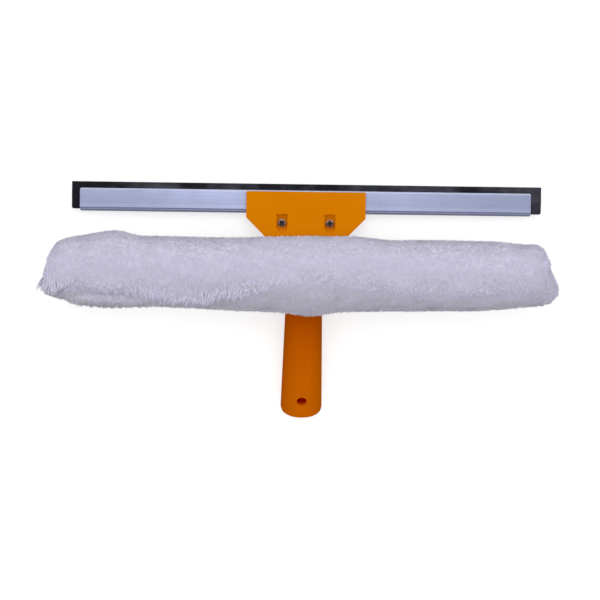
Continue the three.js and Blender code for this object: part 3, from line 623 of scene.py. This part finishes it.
def mark_orange(piece):
    """Masks of painted shade on the orange mouldings: on the turned edges, and in the pockets."""
    points = vertex_array(piece.data)
    facing = normal_array(piece.data) @ np.array(HEAD_FRONT)
    across, level, depth = head_coordinates(points).T
    painted_recess_shade = np.zeros(len(points))
    face = HEAD_FACE_AT_SCREWS - (level - SCREW_LEVEL) * math.tan(HEAD_FACE_SLOPE)
    # Painted shade in the pockets grows as the floor sinks below the face, and stops above the lower wall
    sunk = ramp_between(face - depth, *POCKET_SUNK) * (level > SCREW_LEVEL - POCKET_SHADE_DROP)
    # Painted shade on edges that turn away from the head's front, kept out of the pockets
    edge = 1 - ramp_between(facing, SIDE_FACING, FRONT_FACING)
    for side in (-1, 1):
        beside = np.abs(across - side * SCREW_FROM_MIDDLE) < POCKET_HALF
        in_pocket = beside & (np.abs(level - SCREW_LEVEL) < POCKET_RUN) & (depth > RIM_FRONT)
        painted_recess_shade = np.where(in_pocket, sunk * POCKET_SHADE_STRENGTH, painted_recess_shade)
        edge = np.where(in_pocket, 0, edge)
    set_attribute(piece, "painted_edge_shade", edge)
    set_attribute(piece, "painted_recess_shade", painted_recess_shade)


def make_handle():
    piece = merged_copy("handle", "handle_moulding")
    widen_plate_rim(piece)
    round_edges(piece, 0.3 * MM, 26)
    mark_orange(piece)
    finish_piece(piece, "handle_body", "orange_plastic", "orange_plastic", "handle")


def make_rear_jaw():
    piece = softened("rear_jaw", "rear_jaw_moulding", 0.4 * MM, 28)
    mark_orange(piece)
    finish_piece(piece, "rear_jaw", "orange_plastic", "orange_plastic", "rear_jaw")


def make_channel():
    piece = softened("blade_channel", "channel_profile", 0.18 * MM, 25, 2)
    level = head_coordinates(vertex_array(piece.data))[:, 1]
    set_attribute(piece, "channel_level", (level - level.min()) / (level.max() - level.min()))
    finish_piece(piece, "blade", "aluminium", "aluminium", "blade_channel")


def make_rubber():
    piece = softened("blade_rubber", "rubber_strip", 0.15 * MM, 25, 2)
    finish_piece(piece, "rubber", "black_rubber", "black_rubber", "blade_rubber")


def rounded_slab(piece, corner):
    """A slab round a piece in the grip's axes, with its four corners rounded."""
    local = grip_coordinates(vertex_array(piece.data))
    low, high = local.min(axis=0), local.max(axis=0)
    bpy.ops.mesh.primitive_cube_add(size=1)
    slab = bpy.context.active_object
    placed = (low + high) / 2 + vertex_array(slab.data) * (high - low + SLAB_MARGIN)
    move_vertices(slab.data, row_coordinates(placed))

    def through(edge):
        along = (edge.verts[1].co - edge.verts[0].co).normalized()
        return abs(along.dot(GRIP_FRONT)) > FRONT_FACING

    bevel_edges(slab, through, offset=corner, segments=10)
    return slab


def make_bar():
    piece = merged_copy("washer_bar", "bar_moulding")
    slab = rounded_slab(piece, BAR_CORNER)
    trim = piece.modifiers.new("rounded corners", "BOOLEAN")
    trim.operation = "INTERSECT"
    trim.solver = "EXACT"
    trim.object = slab
    apply_modifiers(piece)
    bpy.data.objects.remove(slab)
    round_edges(piece, 0.3 * MM, 28, 2)
    finish_piece(piece, "handle_body", "white_plastic", "white_plastic", "washer_bar")


def mark_screw(piece, axis, up):
    """Masks of the painted rim highlight and the painted shade in the cross recess, for a screw that points
    along axis.
    """
    points = vertex_array(piece.data)
    axis, up = np.array(axis), np.array(up)
    along = points @ axis
    middle = points.mean(axis=0)
    across = points - middle
    radius = np.hypot(across[:, 0], across @ up)
    from_top = along.max() - along
    in_recess = (radius < RECESS_REACH) & (from_top < RECESS_DEPTH + 0.2 * MM)
    set_attribute(piece, "painted_recess_shade", np.where(in_recess, ramp_between(from_top, *RECESS_SHADE), 0))
    rim = ramp_between(radius, *RIM_HIGHLIGHT_RADII) * (from_top < SCREW_HEAD_HEIGHT)
    set_attribute(piece, "painted_rim_highlight", rim)


def make_screw(name, body, axis, up):
    piece = softened(name, name + "_steel", 0.1 * MM, 30, 2)
    mark_screw(piece, axis, up)
    finish_piece(piece, body, "steel", "steel", name)


def make_nut(name):
    piece = softened(name, name + "_steel", 0.2 * MM, 30, 2)
    set_attribute(piece, "painted_recess_shade", np.zeros(len(piece.data.vertices)))
    # Paler all over: a share of the painted rim highlight
    set_attribute(piece, "painted_rim_highlight", np.full(len(piece.data.vertices), 0.4))
    finish_piece(piece, "rear_jaw", "steel", "steel", name)


def dress_fasteners():
    for side in ("left", "right"):
        make_screw("clamp_screw_" + side, "clamp_screw_" + side, HEAD_FRONT, HEAD_UP)
        make_screw("bar_screw_" + side, "handle_body", GRIP_FRONT, GRIP_UP)
        make_nut("clamp_nut_" + side)


# The fleece and its pile

PILE_SPACING = 1.0 * MM
PILE_LENGTH = 2.9 * MM
FLAP_PILE_LENGTH = 2.6 * MM
PILE_ROOT_RADIUS = 0.55 * MM
PILE_SIDES = 3
COVER_VOXEL = 1.7 * MM
ROOT_SINK = 0.3 * MM
SHORTEST = 0.3 * MM
CLEAR_OF_NEIGHBOURS = 0.4 * MM
FLAP_VOXEL = 0.9 * MM
SLEEVE_SLIDES = np.arange(-75, 1, 15) * MM
CLUMP_WIDTH = 6 * MM
SWIRL_WIDTH = 22 * MM
STREAK_WIDTH = 3.4 * MM
STREAK_STRETCH = np.array((0.14, 1, 1))
TUFT_WIDTH = 8 * MM
SOIL_WIDTH = 30 * MM
FRINGE_LIFT = 0.25

# Slow noise: sines added in octaves
NOISE_OCTAVES = 4
NOISE_WAVES = 3
NOISE_STEP = 1.7
NOISE_FALL = 1.5
NOISE_GAIN = 2.2

# The sewn edge of the flap: its way down the back of the sleeve, and the way out of the fleece there
FLAP_PIVOT = joint_place("flap_open")
FLAP_WAY = GRIP_UP * -0.944 + GRIP_FRONT * -0.331
FLAP_OUTWARD = GRIP_UP * 0.331 + GRIP_FRONT * -0.944
ROOT_RUN = 4 * MM
ROOT_REACH = 4.5 * MM
ROOT_TUCK = 2.4 * MM
FLAP_GAP = 2.2 * MM

# Each pair below is where a change starts and where it ends.
# Across the sleeve from its middle plane
FOLD_START = (-186 * MM, -170 * MM)
FOLD_END = (-132 * MM, -108 * MM)
LEFT_FORM = (-50 * MM, 10 * MM)
LEFT_FRINGE = (-45 * MM, -15 * MM)
LEFT_SOIL = (-90 * MM, -30 * MM)
CREST_END = (36 * MM, 46 * MM)

# Up the head from the bend: the crest, and where painted shade grows high on the sleeve
CREST_LEVEL = (11 * MM, 15 * MM)
UPPER_SHADE_LEVEL = (2 * MM, 15 * MM)

# In front of the head
SLEEVE_FRONT = (24 * MM, 34 * MM)
FACING_FRONT = (20 * MM, 36 * MM)

# Above the crown line, below it, and out from the bar's room
HANG_START = (-1.5 * MM, 0.5 * MM)
HANG_END = (4 * MM, 9 * MM)
UNDER_START = (-7 * MM, -1 * MM)
UNDER_END = (9 * MM, 16 * MM)
SKIN_FROM_CAVITY = (1.2 * MM, 5 * MM)

# Which faces of the plain sleeve carry pile
SLEEVE_HALF_HEIGHT = 27 * MM
SLEEVE_HALF_THICKNESS = 20 * MM
OUTER_SHARE = 0.72
TIP_SHARE = 0.35
FOLD_REACH = -100 * MM
FOLD_FRONT = 8.6 * MM


def remeshed_copy(node_name, piece_name, voxel, smoothing):
    piece = merged_copy(node_name, piece_name)
    remesh = piece.modifiers.new("even skin", "REMESH")
    remesh.mode = "VOXEL"
    remesh.voxel_size = voxel
    smooth = piece.modifiers.new("soft", "SMOOTH")
    smooth.factor = 0.5
    smooth.iterations = smoothing
    apply_modifiers(piece)
    return piece


def neighbours_tree(*names, passing=()):
    """A search tree over CAD nodes that the pile stays clear of, some of them as it slides past."""
    points, faces = [], []
    at_rest = [(name, 0) for name in names]
    for name, slide in at_rest + [(name, slide) for name in passing for slide in SLEEVE_SLIDES]:
        mesh = NODES[name].data
        start = len(points)
        points.extend(vertex.co + Vector((slide, 0, 0)) for vertex in mesh.vertices)
        faces.extend([start + corner for corner in face.vertices] for face in mesh.polygons)
    return BVHTree.FromPolygons(points, faces)


def scatter_on(mesh, covered, spacing, rng):
    """Random roots over the covered faces: places and normals, spread by area."""
    count = len(mesh.polygons)
    normal = face_array(mesh, "normal")
    area = np.empty(count)
    mesh.polygons.foreach_get("area", area)
    wanted = np.where(covered, area / spacing ** 2, 0)
    whole = np.floor(wanted + rng.random(count)).astype(int)
    rows = np.repeat(np.arange(count), whole)
    corners = vertex_array(mesh)
    rings = [list(face.vertices) for face in mesh.polygons]
    quads = np.array([(ring + [ring[0]])[:4] for ring in rings])
    share = rng.random((len(rows), 2))
    picked = corners[quads[rows]]
    first = picked[:, 0] * (1 - share[:, :1]) + picked[:, 1] * share[:, :1]
    second = picked[:, 3] * (1 - share[:, :1]) + picked[:, 2] * share[:, :1]
    return first * (1 - share[:, 1:]) + second * share[:, 1:], normal[rows]


def tuft_mesh(roots, normals, nap, lengths, radii, rng):
    """Bent, pointed tufts: a root ring, a middle ring and a tip each, with their heights."""
    count = len(roots)
    across = np.cross(normals, nap)
    across /= np.linalg.norm(across, axis=1, keepdims=True) + 1e-12
    along = np.cross(across, normals)
    turn = rng.random(count) * 2 * math.pi
    rings = []
    for share, thickness in ((0.0, 1.0), (0.5, 0.75)):
        rise = lengths * share
        middle = roots + normals * (rise * (1 - 0.3 * share))[:, None] + nap * (rise * share)[:, None]
        for side in range(PILE_SIDES):
            angle = turn + side * 2 * math.pi / PILE_SIDES
            offset = across * np.cos(angle)[:, None] + along * np.sin(angle)[:, None]
            rings.append(middle + offset * (radii * thickness)[:, None])
    tips = roots + normals * (lengths * 0.7)[:, None] + nap * lengths[:, None]
    points = np.stack([*rings, tips], axis=1).reshape(-1, 3)
    heights = np.tile([0.0] * PILE_SIDES + [0.55] * PILE_SIDES + [1.0], count)
    block = 2 * PILE_SIDES + 1
    quads, triangles = [], []
    for side in range(PILE_SIDES):
        following = (side + 1) % PILE_SIDES
        quads.append([following, side, PILE_SIDES + side, PILE_SIDES + following])
        triangles.append([PILE_SIDES + following, PILE_SIDES + side, 2 * PILE_SIDES])
    starts = (np.arange(count) * block)[:, None, None]
    all_quads = (np.array(quads)[None] + starts).reshape(-1, 4)
    all_triangles = (np.array(triangles)[None] + starts).reshape(-1, 3)
    return points, heights, all_quads, all_triangles


def smooth_noise(points, size, seed):
    """Slow random waves from -1 to 1 over a set of points, a few sines deep."""
    rng = np.random.RandomState(seed)
    total = np.zeros(len(points))
    weight = 0
    for octave in range(NOISE_OCTAVES):
        for _ in range(NOISE_WAVES):
            direction = rng.normal(size=3)
            direction /= np.linalg.norm(direction)
            turns = 2 * math.pi * NOISE_STEP ** octave / size
            phase = rng.random() * 2 * math.pi
            total += np.sin(points @ direction * turns + phase) / NOISE_FALL ** octave
            weight += 1 / NOISE_FALL ** octave
    return total / weight * NOISE_GAIN


# The sleeve as it is seen from in front of the head, in millimetres across from its middle plane
# and up the head from the bend. The tips run from the upper edge round to the lower one.
TOP_EDGE = ((-165, 17.9), (-152, 20.6), (-138, 22.9), (-130, 21), (-121, 18.7), (-60, 18.2),
            (-10, 19.6), (36, 20.2), (60, 17.7), (90, 18.4), (137, 17.8), (165, 15.4))
LOW_EDGE = ((-165, -33), (-141, -34.6), (-112, -33.4), (-40, -36), (-14, -36.8), (0, -39.4), (9, -39),
            (22, -36.2), (40, -35.2), (128, -33.7), (146, -32.2), (165, -30))
LEFT_TIP = ((169.6, 16.5), (175.3, 15), (181.1, 12.8), (186.8, 4), (189.6, -7.5), (192, -19), (190.5, -25.2),
            (186, -27.2), (176.4, -29), (170, -31.7))
RIGHT_TIP = ((167, 15.2), (172.4, 12.4), (178.5, -0.6), (183, -10.5), (186, -16), (185.2, -22),
             (181.4, -26.6), (175.2, -28.8), (169, -29.6))
CROWN = ((-182, -19), (-160, -20), (-135, -21.5), (-118, -23), (-104, -26), (-92, -27),
         (-76, -27.5), (-60, -23.5), (-40, -20), (-19, -16), (5, -13.5), (28, -14.5),
         (50, -17.5), (90, -19.5), (140, -20), (176, -20.5))
TIP_FROM = 160 * MM
LINE_EASE = 9 * MM
STATION_WINDOW = 1.4 * MM
PILE_STAND = 1.6 * MM
LOW_PILE_STAND = 0.9 * MM
TIP_PILE_STAND = 1.7 * MM
UNDER_RECESS = 0.9 * MM
FOLD_DEPTH = 2.6 * MM
FOLD_LIP = 1.2 * MM
CAVITY_HALF_HEIGHT = 16.8 * MM
CAVITY_HALF_THICKNESS = 6.8 * MM
CAVITY_END = 175.8 * MM
BAR_REACH = 175.5 * MM
END_RUN = 6 * MM
LINING_WALL = 0.5 * MM
TIP_STEPS = 60


def along_line(line, places):
    """Heights of a line of points over places, its corners eased a little."""
    stations, heights = np.array(line, dtype=float).T * MM
    spread = (-0.5, -0.25, 0, 0.25, 0.5)
    return sum(np.interp(places + share * LINE_EASE, stations, heights) for share in spread) / len(spread)


def furthest(places, values, stations, window):
    """The greatest value of a cloud of points near each station."""
    near = np.abs(places[None] - stations[:, None]) < window
    return np.where(near, values[None], -np.inf).max(axis=1)


def seen_edges(across, level):
    """Middle and half height of the plain sleeve and of the real one, at stations across."""
    stations = np.arange(-160, 161, 2.5) * MM
    top = furthest(across, level, stations, STATION_WINDOW)
    low = -furthest(across, -level, stations, STATION_WINDOW)
    new_top = along_line(TOP_EDGE, stations) - PILE_STAND
    new_low = along_line(LOW_EDGE, stations) + LOW_PILE_STAND
    return stations, (top + low) / 2, (top - low) / 2, (new_top + new_low) / 2, (new_top - new_low) / 2


def hull_reach(out, up, turns):
    """How far the hull of a cloud of points reaches from its middle at each turn."""
    ways = np.radians(np.arange(-90, 91, 2))
    support = (out[:, None] * np.cos(ways) + up[:, None] * np.sin(ways)).max(axis=0)
    facing = np.cos(turns[:, None] - ways)
    return np.where(facing > 0.2, support / np.maximum(facing, 0.2), np.inf).min(axis=1)


def fit_tip(side, tip, across, level, old_middle, new_middle, half, new_half):
    """An end's points, scaled from the plain end's outline to the real one's, and that outline."""
    out = side * across - TIP_FROM
    up = level - old_middle
    turn = np.arctan2(up, np.maximum(out, 0))
    beyond = out > -1 * MM
    turns = np.radians(np.arange(-90, 91, 3))
    plain = hull_reach(out[beyond], up[beyond], turns)
    plain[[0, -1]] = half
    first = (TIP_FROM / MM, (new_middle + new_half) / MM)
    last = (TIP_FROM / MM, (new_middle - new_half) / MM)
    corners = np.array([first, *tip, last]) * MM
    places = np.linspace(0, len(corners) - 1, TIP_STEPS)
    tip_out = np.interp(places, np.arange(len(corners)), corners[:, 0]) - TIP_FROM
    tip_up = np.interp(places, np.arange(len(corners)), corners[:, 1]) - new_middle
    real_turns, real = np.arctan2(tip_up, tip_out)[::-1], np.hypot(tip_up, tip_out)[::-1]
    wanted = np.interp(turns, real_turns, real) - TIP_PILE_STAND * np.cos(turns)
    scale = np.interp(turn, turns, wanted / plain)
    return side * (TIP_FROM + out * scale), new_middle + up * scale, turns, wanted


def held_in(side, across, level, new_middle, turns, wanted, outside):
    """Draws the points of an end inside its outline, the lining a little further than the skin."""
    out, up = side * across - TIP_FROM, level - new_middle
    limit = np.interp(np.arctan2(up, out), turns, wanted) - (1 - outside) * LINING_WALL
    scale = np.where(out > 0, np.minimum(limit / np.maximum(np.hypot(out, up), MM), 1), 1)
    return side * (TIP_FROM + out * scale), new_middle + up * scale


def fit_outline(points, outside):
    """Moves the sleeve's outside to its seen outline, a pile's height inside it."""
    across, level, _ = head_coordinates(points).T
    stations, middle, half, new_middle, new_half = seen_edges(across, level)
    share = (level - np.interp(across, stations, middle)) / np.interp(across, stations, half)
    new_across = across
    new_level = np.interp(across, stations, new_middle) + share * np.interp(across, stations, new_half)
    weight = np.maximum(outside, ramp_between(np.abs(across), BAR_REACH, BAR_REACH + END_RUN))
    limits = {}
    for side, tip, end in ((-1, LEFT_TIP, 0), (1, RIGHT_TIP, -1)):
        moved_across, moved_level, turns, wanted = fit_tip(
            side, tip, across, level, middle[end], new_middle[end], half[end], new_half[end],
        )
        beyond = side * across > TIP_FROM
        new_across = np.where(beyond, moved_across, new_across)
        new_level = np.where(beyond, moved_level, new_level)
        limits[side] = (new_middle[end], turns, wanted)
    placed_across = across + weight * (new_across - across)
    placed_level = level + weight * (new_level - level)
    for side, (tip_middle, turns, wanted) in limits.items():
        held = held_in(side, placed_across, placed_level, tip_middle, turns, wanted, outside)
        beyond = side * across > TIP_FROM
        placed_across = np.where(beyond, held[0], placed_across)
        placed_level = np.where(beyond, held[1], placed_level)
    return placed_across, placed_level


def from_cavity(local):
    """Distance of points in the grip's axes from the room that the washer bar takes."""
    past_height = np.maximum(np.abs(local[:, 1]) - CAVITY_HALF_HEIGHT, 0)
    past_thickness = np.maximum(np.abs(local[:, 2]) - CAVITY_HALF_THICKNESS, 0)
    past_end = np.maximum(local[:, 0] - CAVITY_END, 0)
    return np.sqrt(past_height ** 2 + past_thickness ** 2 + past_end ** 2)


def fold_share(across):
    """1 along the fold of the open end and 0 past it."""
    return ramp_between(across, *FOLD_START) * (1 - ramp_between(across, *FOLD_END))


def sleeve_form(points):
    """Moves the plain sleeve to the outline, the crown, the fold and the lumps of the real one."""
    local = grip_coordinates(points)
    outside = ramp_between(from_cavity(local), *SKIN_FROM_CAVITY)
    head = head_coordinates(points)
    depth = head[:, 2].copy()
    across, level = fit_outline(points, outside)
    crown = along_line(CROWN, across) + smooth_noise(points * (1, 0, 0), 26 * MM, 5) * 1.2 * MM
    facing = ramp_between(depth, *FACING_FRONT) * outside
    below = crown - level
    left = 1 - ramp_between(across, *LEFT_FORM)
    under = ramp_between(below, -1 * MM, (7 - 4 * left) * MM) * (1 - ramp_between(below, *UNDER_END))
    fold = fold_share(across)
    valley = bell(below, 4 * MM, 3 * MM) * fold
    lip = bell(below, 10.5 * MM, 3.2 * MM) * fold
    recess = under * (1 - fold) * UNDER_RECESS * (2 * left - 1) + valley * FOLD_DEPTH - lip * FOLD_LIP
    lump = smooth_noise(points, 60 * MM, 3) * 0.5 * MM + smooth_noise(points, 19 * MM, 4) * 0.35 * MM
    stand = PILE_STAND * np.clip(local[:, 2] / (14 * MM), -1, 1)
    head[:, 0] = across
    head[:, 1] = level
    head[:, 2] = depth - outside * (stand - lump) - facing * recess
    return head @ np.array(HEAD_AXES).T + np.array(HEAD_ORIGIN)


def join_pile(piece, points, heights, quads, triangles, masks, shade_normals):
    """Adds tufts to a skin in one mesh, with its attributes and its shading normals."""
    mesh = piece.data
    skin = vertex_array(mesh)
    skin_normals = normal_array(mesh)
    skin_faces = [list(face.vertices) for face in mesh.polygons]
    start = len(skin)
    faces = skin_faces + (quads + start).tolist() + (triangles + start).tolist()
    whole = bpy.data.meshes.new(piece.name)
    whole.from_pydata(np.concatenate([skin, points]).tolist(), [], faces)
    piece.data = whole
    bpy.data.meshes.remove(mesh)
    set_attribute(piece, "pile_height", np.concatenate([np.full(start, 0.15), heights]))
    for name, (skin_value, values) in masks.items():
        set_attribute(piece, name, np.concatenate([np.full(start, skin_value), values]))
    whole.shade_smooth()
    normals = np.concatenate([skin_normals, shade_normals])
    whole.normals_split_custom_set_from_vertices(normals.tolist())


def pile_regions(roots):
    """Shares of the pile: hanging, at the crest, underneath, by the crown, high up, and tousled."""
    across, level, depth = head_coordinates(roots).T
    above = level - along_line(CROWN, across)
    in_front = ramp_between(depth, *SLEEVE_FRONT)
    fold = fold_share(across)
    hanging = ramp_between(above, *HANG_START) * (1 - ramp_between(above, *HANG_END)) * in_front
    left = 1 - ramp_between(across, *LEFT_FRINGE)
    hanging *= (0.2 + 0.8 * left) * (1 - 0.35 * fold)
    lip = bell(above, -9 * MM, 6 * MM) * fold
    crest = ramp_between(level, *CREST_LEVEL) * (1 - ramp_between(np.abs(across), *CREST_END))
    valley = bell(above, -3.5 * MM, 2.5 * MM) * fold
    # under also marks where shade is painted, with the fold's valley added
    under = 1 - ramp_between(above, *UNDER_START) + 0.4 * valley
    crown = bell(above, 5 * MM, 6 * MM) * in_front
    tousled = np.clip(hanging + lip + 0.3 * crest + 0.6 * under * in_front, 0, 1)
    high = ramp_between(level, *UPPER_SHADE_LEVEL)
    return hanging, crest, under, crown, high, tousled


def grow_pile(piece, covered, keep_clear, length, rng_seed):
    """Covers the marked faces of a skin with pile that leans down the handle."""
    rng = np.random.RandomState(rng_seed)
    roots, normals = scatter_on(piece.data, covered, PILE_SPACING, rng)
    count = len(roots)
    hanging, crest, under, crown, high, tousled = pile_regions(roots)
    down = -np.array(HEAD_UP)
    swirl = np.stack([smooth_noise(roots, SWIRL_WIDTH, 10 + axis) for axis in range(3)], axis=1)
    lean = 0.55 + 0.55 * hanging - 0.5 * crest
    nap = down * lean[:, None] + swirl * (0.3 + 0.3 * tousled)[:, None]
    nap += rng.normal(scale=0.16, size=(count, 3))
    nap -= normals * np.sum(nap * normals, axis=1, keepdims=True)
    clump = smooth_noise(roots, CLUMP_WIDTH, 21)
    lengths = length * (0.85 + (0.12 + 0.4 * tousled) * clump + rng.uniform(-0.1, 0.12, count))
    lengths *= 1 + 0.85 * hanging
    lengths = np.clip(lengths, 0.4 * length, 2.4 * length)
    room = np.array([
        keep_clear.find_nearest(Vector(root), 3 * length)[3] or 3 * length for root in roots
    ])
    lengths = np.minimum(lengths, np.maximum(room - CLEAR_OF_NEIGHBOURS, SHORTEST))
    radii = PILE_ROOT_RADIUS * rng.uniform(0.8, 1.15, count) * np.clip(lengths / length, 0.5, 1)
    sunk = roots - normals * ROOT_SINK
    points, heights, quads, triangles = tuft_mesh(sunk, normals, nap, lengths, radii, rng)
    block = 2 * PILE_SIDES + 1
    tone = 0.5 + 0.25 * smooth_noise(roots, CLUMP_WIDTH, 31) + rng.normal(scale=0.12, size=count)
    tone = np.clip(tone, 0, 1)
    streaks = 0.55 + 0.4 * smooth_noise(roots * STREAK_STRETCH, STREAK_WIDTH, 61)
    tufts = smooth_noise(roots, TUFT_WIDTH, 62)
    streaks = np.clip(streaks + 0.3 * clump * tousled - 0.35 * tufts, 0, 1)
    left = 1 - ramp_between(roots[:, 0], *LEFT_SOIL)
    soil = crown * np.clip(smooth_noise(roots, SOIL_WIDTH, 41) + 0.75, 0, 1) * (1 - 0.5 * left)
    own_way = (0.13 + 0.2 * tousled - 0.15 * hanging)[:, None]
    lit = 0.22 + 0.5 * np.abs(normals[:, :1]) + 0.36 * hanging[:, None]
    shade = normals * (1 - own_way) + nap * own_way + np.array(HEAD_FRONT) * lit
    shade += np.array(HEAD_UP) * (FRINGE_LIFT * hanging)[:, None]
    join_pile(
        piece, points, heights, quads, triangles,
        {
            "pile_tone": (0.5, np.repeat(tone, block)),
            "pile_soil": (0.3, np.repeat(soil, block)),
            # Painted shade underneath, in the fold and high up, streaked like the knit
            "pile_shade_and_ribs": (0.4, np.repeat(under * (0.3 + 0.7 * streaks) + 0.45 * high, block)),
        },
        np.repeat(shade, block, axis=0),
    )


def under_flap(centre):
    """True where a point of the sleeve lies in the recess that the closure flap fills."""
    flap = neighbours_tree("closure_flap", "loop_tape", "hook_tape")
    distance = np.array([flap.find_nearest(Vector(point))[3] for point in centre])
    return distance < FLAP_GAP


def face_outward(mesh):
    """Middles and normals of the faces in the grip's axes, and how far each faces away from the bar."""
    local = grip_coordinates(face_array(mesh, "center"))
    local_normal = face_array(mesh, "normal") @ np.array(GRIP_AXES)
    outward = local[:, 1:] / (np.linalg.norm(local[:, 1:], axis=1, keepdims=True) + 1e-9)
    return local, local_normal, np.sum(outward * local_normal[:, 1:], axis=1)


def outer_skin(mesh):
    """True for the faces of the plain sleeve that carry pile."""
    centre = face_array(mesh, "center")
    local, local_normal, facing = face_outward(mesh)
    radius = np.hypot(local[:, 1] / SLEEVE_HALF_HEIGHT, local[:, 2] / SLEEVE_HALF_THICKNESS)
    tip = np.abs(local_normal[:, 0]) > 0.5
    folded = (centre[:, 0] < FOLD_REACH) & (local[:, 2] > FOLD_FRONT) & (facing > -0.6)
    closed_end = local[:, 0] > CAVITY_END + MM
    keep = (facing > 0.25) & (radius > OUTER_SHARE) | tip & (radius > TIP_SHARE) | folded | closed_end
    return keep & ~under_flap(centre)


def make_sleeve():
    piece = remeshed_copy("fleece_sleeve", "sleeve_cover", COVER_VOXEL, 3)
    covered = outer_skin(piece.data)
    move_vertices(piece.data, sleeve_form(vertex_array(piece.data)))
    near = neighbours_tree("rear_jaw", "washer_bar", "closure_flap", passing=("handle",))
    grow_pile(piece, covered, near, PILE_LENGTH, SEED)
    finish_piece(piece, "sleeve", "fleece", "fleece", "fleece_sleeve")


def lengthen_root(piece):
    """Draws the sewn edge of the flap on and in, under the fleece of the sleeve above it."""
    points = vertex_array(piece.data)
    from_root = (points - np.array(FLAP_PIVOT)) @ np.array(FLAP_WAY)
    share = 1 - ramp_between(from_root, 0, ROOT_RUN)
    shift = np.array(FLAP_WAY) * ROOT_REACH + np.array(FLAP_OUTWARD) * ROOT_TUCK
    move_vertices(piece.data, points - share[:, None] * shift)


def make_flap():
    piece = remeshed_copy("closure_flap", "flap_cover", FLAP_VOXEL, 2)
    lengthen_root(piece)
    covered = face_outward(piece.data)[2] > -0.3
    near = neighbours_tree("handle", "loop_tape")
    grow_pile(piece, covered, near, FLAP_PILE_LENGTH, SEED + 1)
    dress_piece(piece, "fleece", "fleece", "closure_flap")
    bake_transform(piece)


def make_tape(node_name, body):
    piece = softened(node_name, node_name + "_strip", 0.25 * MM, 40, 2)
    finish_piece(piece, body, "tape", node_name, node_name)


# Floor, light and camera

WORLD_LEVEL = 0.55
KEY_POWER = 16
KEY_SIZE = 1.2
KEY_PLACE = (-0.03, 1.1, 1.5)
KEY_AIM = (0, 0, 0.03)
FLOOR_GLOW = 0.56
SENSOR_WIDTH_MM = 36


def seen_directly(tree):
    """1 for rays from the camera, off a gloss or through a clear body, and 0 for the rest."""
    rays = node(tree, "ShaderNodeLightPath")
    seen = math_node(tree, "ADD", rays.outputs["Is Camera Ray"], rays.outputs["Is Glossy Ray"])
    return math_node(tree, "ADD", seen, rays.outputs["Is Transmission Ray"], clamp=True)


def make_floor():
    bpy.ops.mesh.primitive_plane_add(size=12, location=(0, 0, 0))
    floor = bpy.context.active_object
    floor.name = "pale_floor"
    material = bpy.data.materials.new("pale floor")
    material.use_nodes = True
    tree = material.node_tree
    tree.nodes.remove(tree.nodes["Principled BSDF"])
    paint = node(tree, "ShaderNodeBsdfDiffuse", {"Color": (0.66, 0.66, 0.66, 1)})
    glow = node(tree, "ShaderNodeEmission", {"Color": (1, 1, 1, 1)})
    strength = math_node(tree, "MULTIPLY", seen_directly(tree), FLOOR_GLOW)
    tree.links.new(strength, glow.inputs["Strength"])
    both = node(tree, "ShaderNodeAddShader")
    tree.links.new(paint.outputs[0], both.inputs[0])
    tree.links.new(glow.outputs[0], both.inputs[1])
    tree.links.new(both.outputs[0], tree.nodes["Material Output"].inputs["Surface"])
    floor.data.materials.append(material)


def make_world():
    world = bpy.data.worlds.new("studio")
    bpy.context.scene.world = world
    world.use_nodes = True
    tree = world.node_tree
    background = tree.nodes["Background"]
    level = math_node(tree, "MULTIPLY_ADD", seen_directly(tree), 1 - WORLD_LEVEL, WORLD_LEVEL)
    background.inputs["Color"].default_value = (1, 1, 1, 1)
    tree.links.new(level, background.inputs["Strength"])


def make_lamp(name, place, size, power):
    data = bpy.data.lights.new(name, "AREA")
    data.shape = "DISK"
    data.size = size
    data.energy = power
    lamp = bpy.data.objects.new(name, data)
    bpy.context.scene.collection.objects.link(lamp)
    lamp.location = place
    lamp.rotation_euler = (Vector(KEY_AIM) - place).to_track_quat("-Z", "Y").to_euler()


def make_camera():
    tilt = Matrix.Rotation(VIEW_TILT, 3, "X")
    turn = Matrix.Rotation(VIEW_TURN, 3, "Y")
    roll = Matrix.Rotation(VIEW_ROLL, 3, "Z")
    to_view = roll @ turn @ tilt
    axes = HEAD_AXES @ to_view.transposed()
    place = HEAD_ORIGIN + axes @ Vector((VIEW_SIDEWAYS, VIEW_UP, VIEW_DISTANCE))
    data = bpy.data.cameras.new("view")
    data.lens = VIEW_LENS_MM
    data.sensor_width = SENSOR_WIDTH_MM
    data.clip_start = 0.05
    data.clip_end = 30
    camera = bpy.data.objects.new("view", data)
    bpy.context.scene.collection.objects.link(camera)
    camera.matrix_world = Matrix.Translation(place) @ axes.to_4x4()
    bpy.context.scene.camera = camera


make_camera()
make_world()
make_lamp("window light", Vector(KEY_PLACE), KEY_SIZE, KEY_POWER)
make_floor()
bpy.context.scene.view_settings.view_transform = "Standard"

make_handle()
make_rear_jaw()
make_channel()
make_rubber()
make_bar()
dress_fasteners()
make_sleeve()
make_flap()
make_tape("loop_tape", "flap")
make_tape("hook_tape", "sleeve")
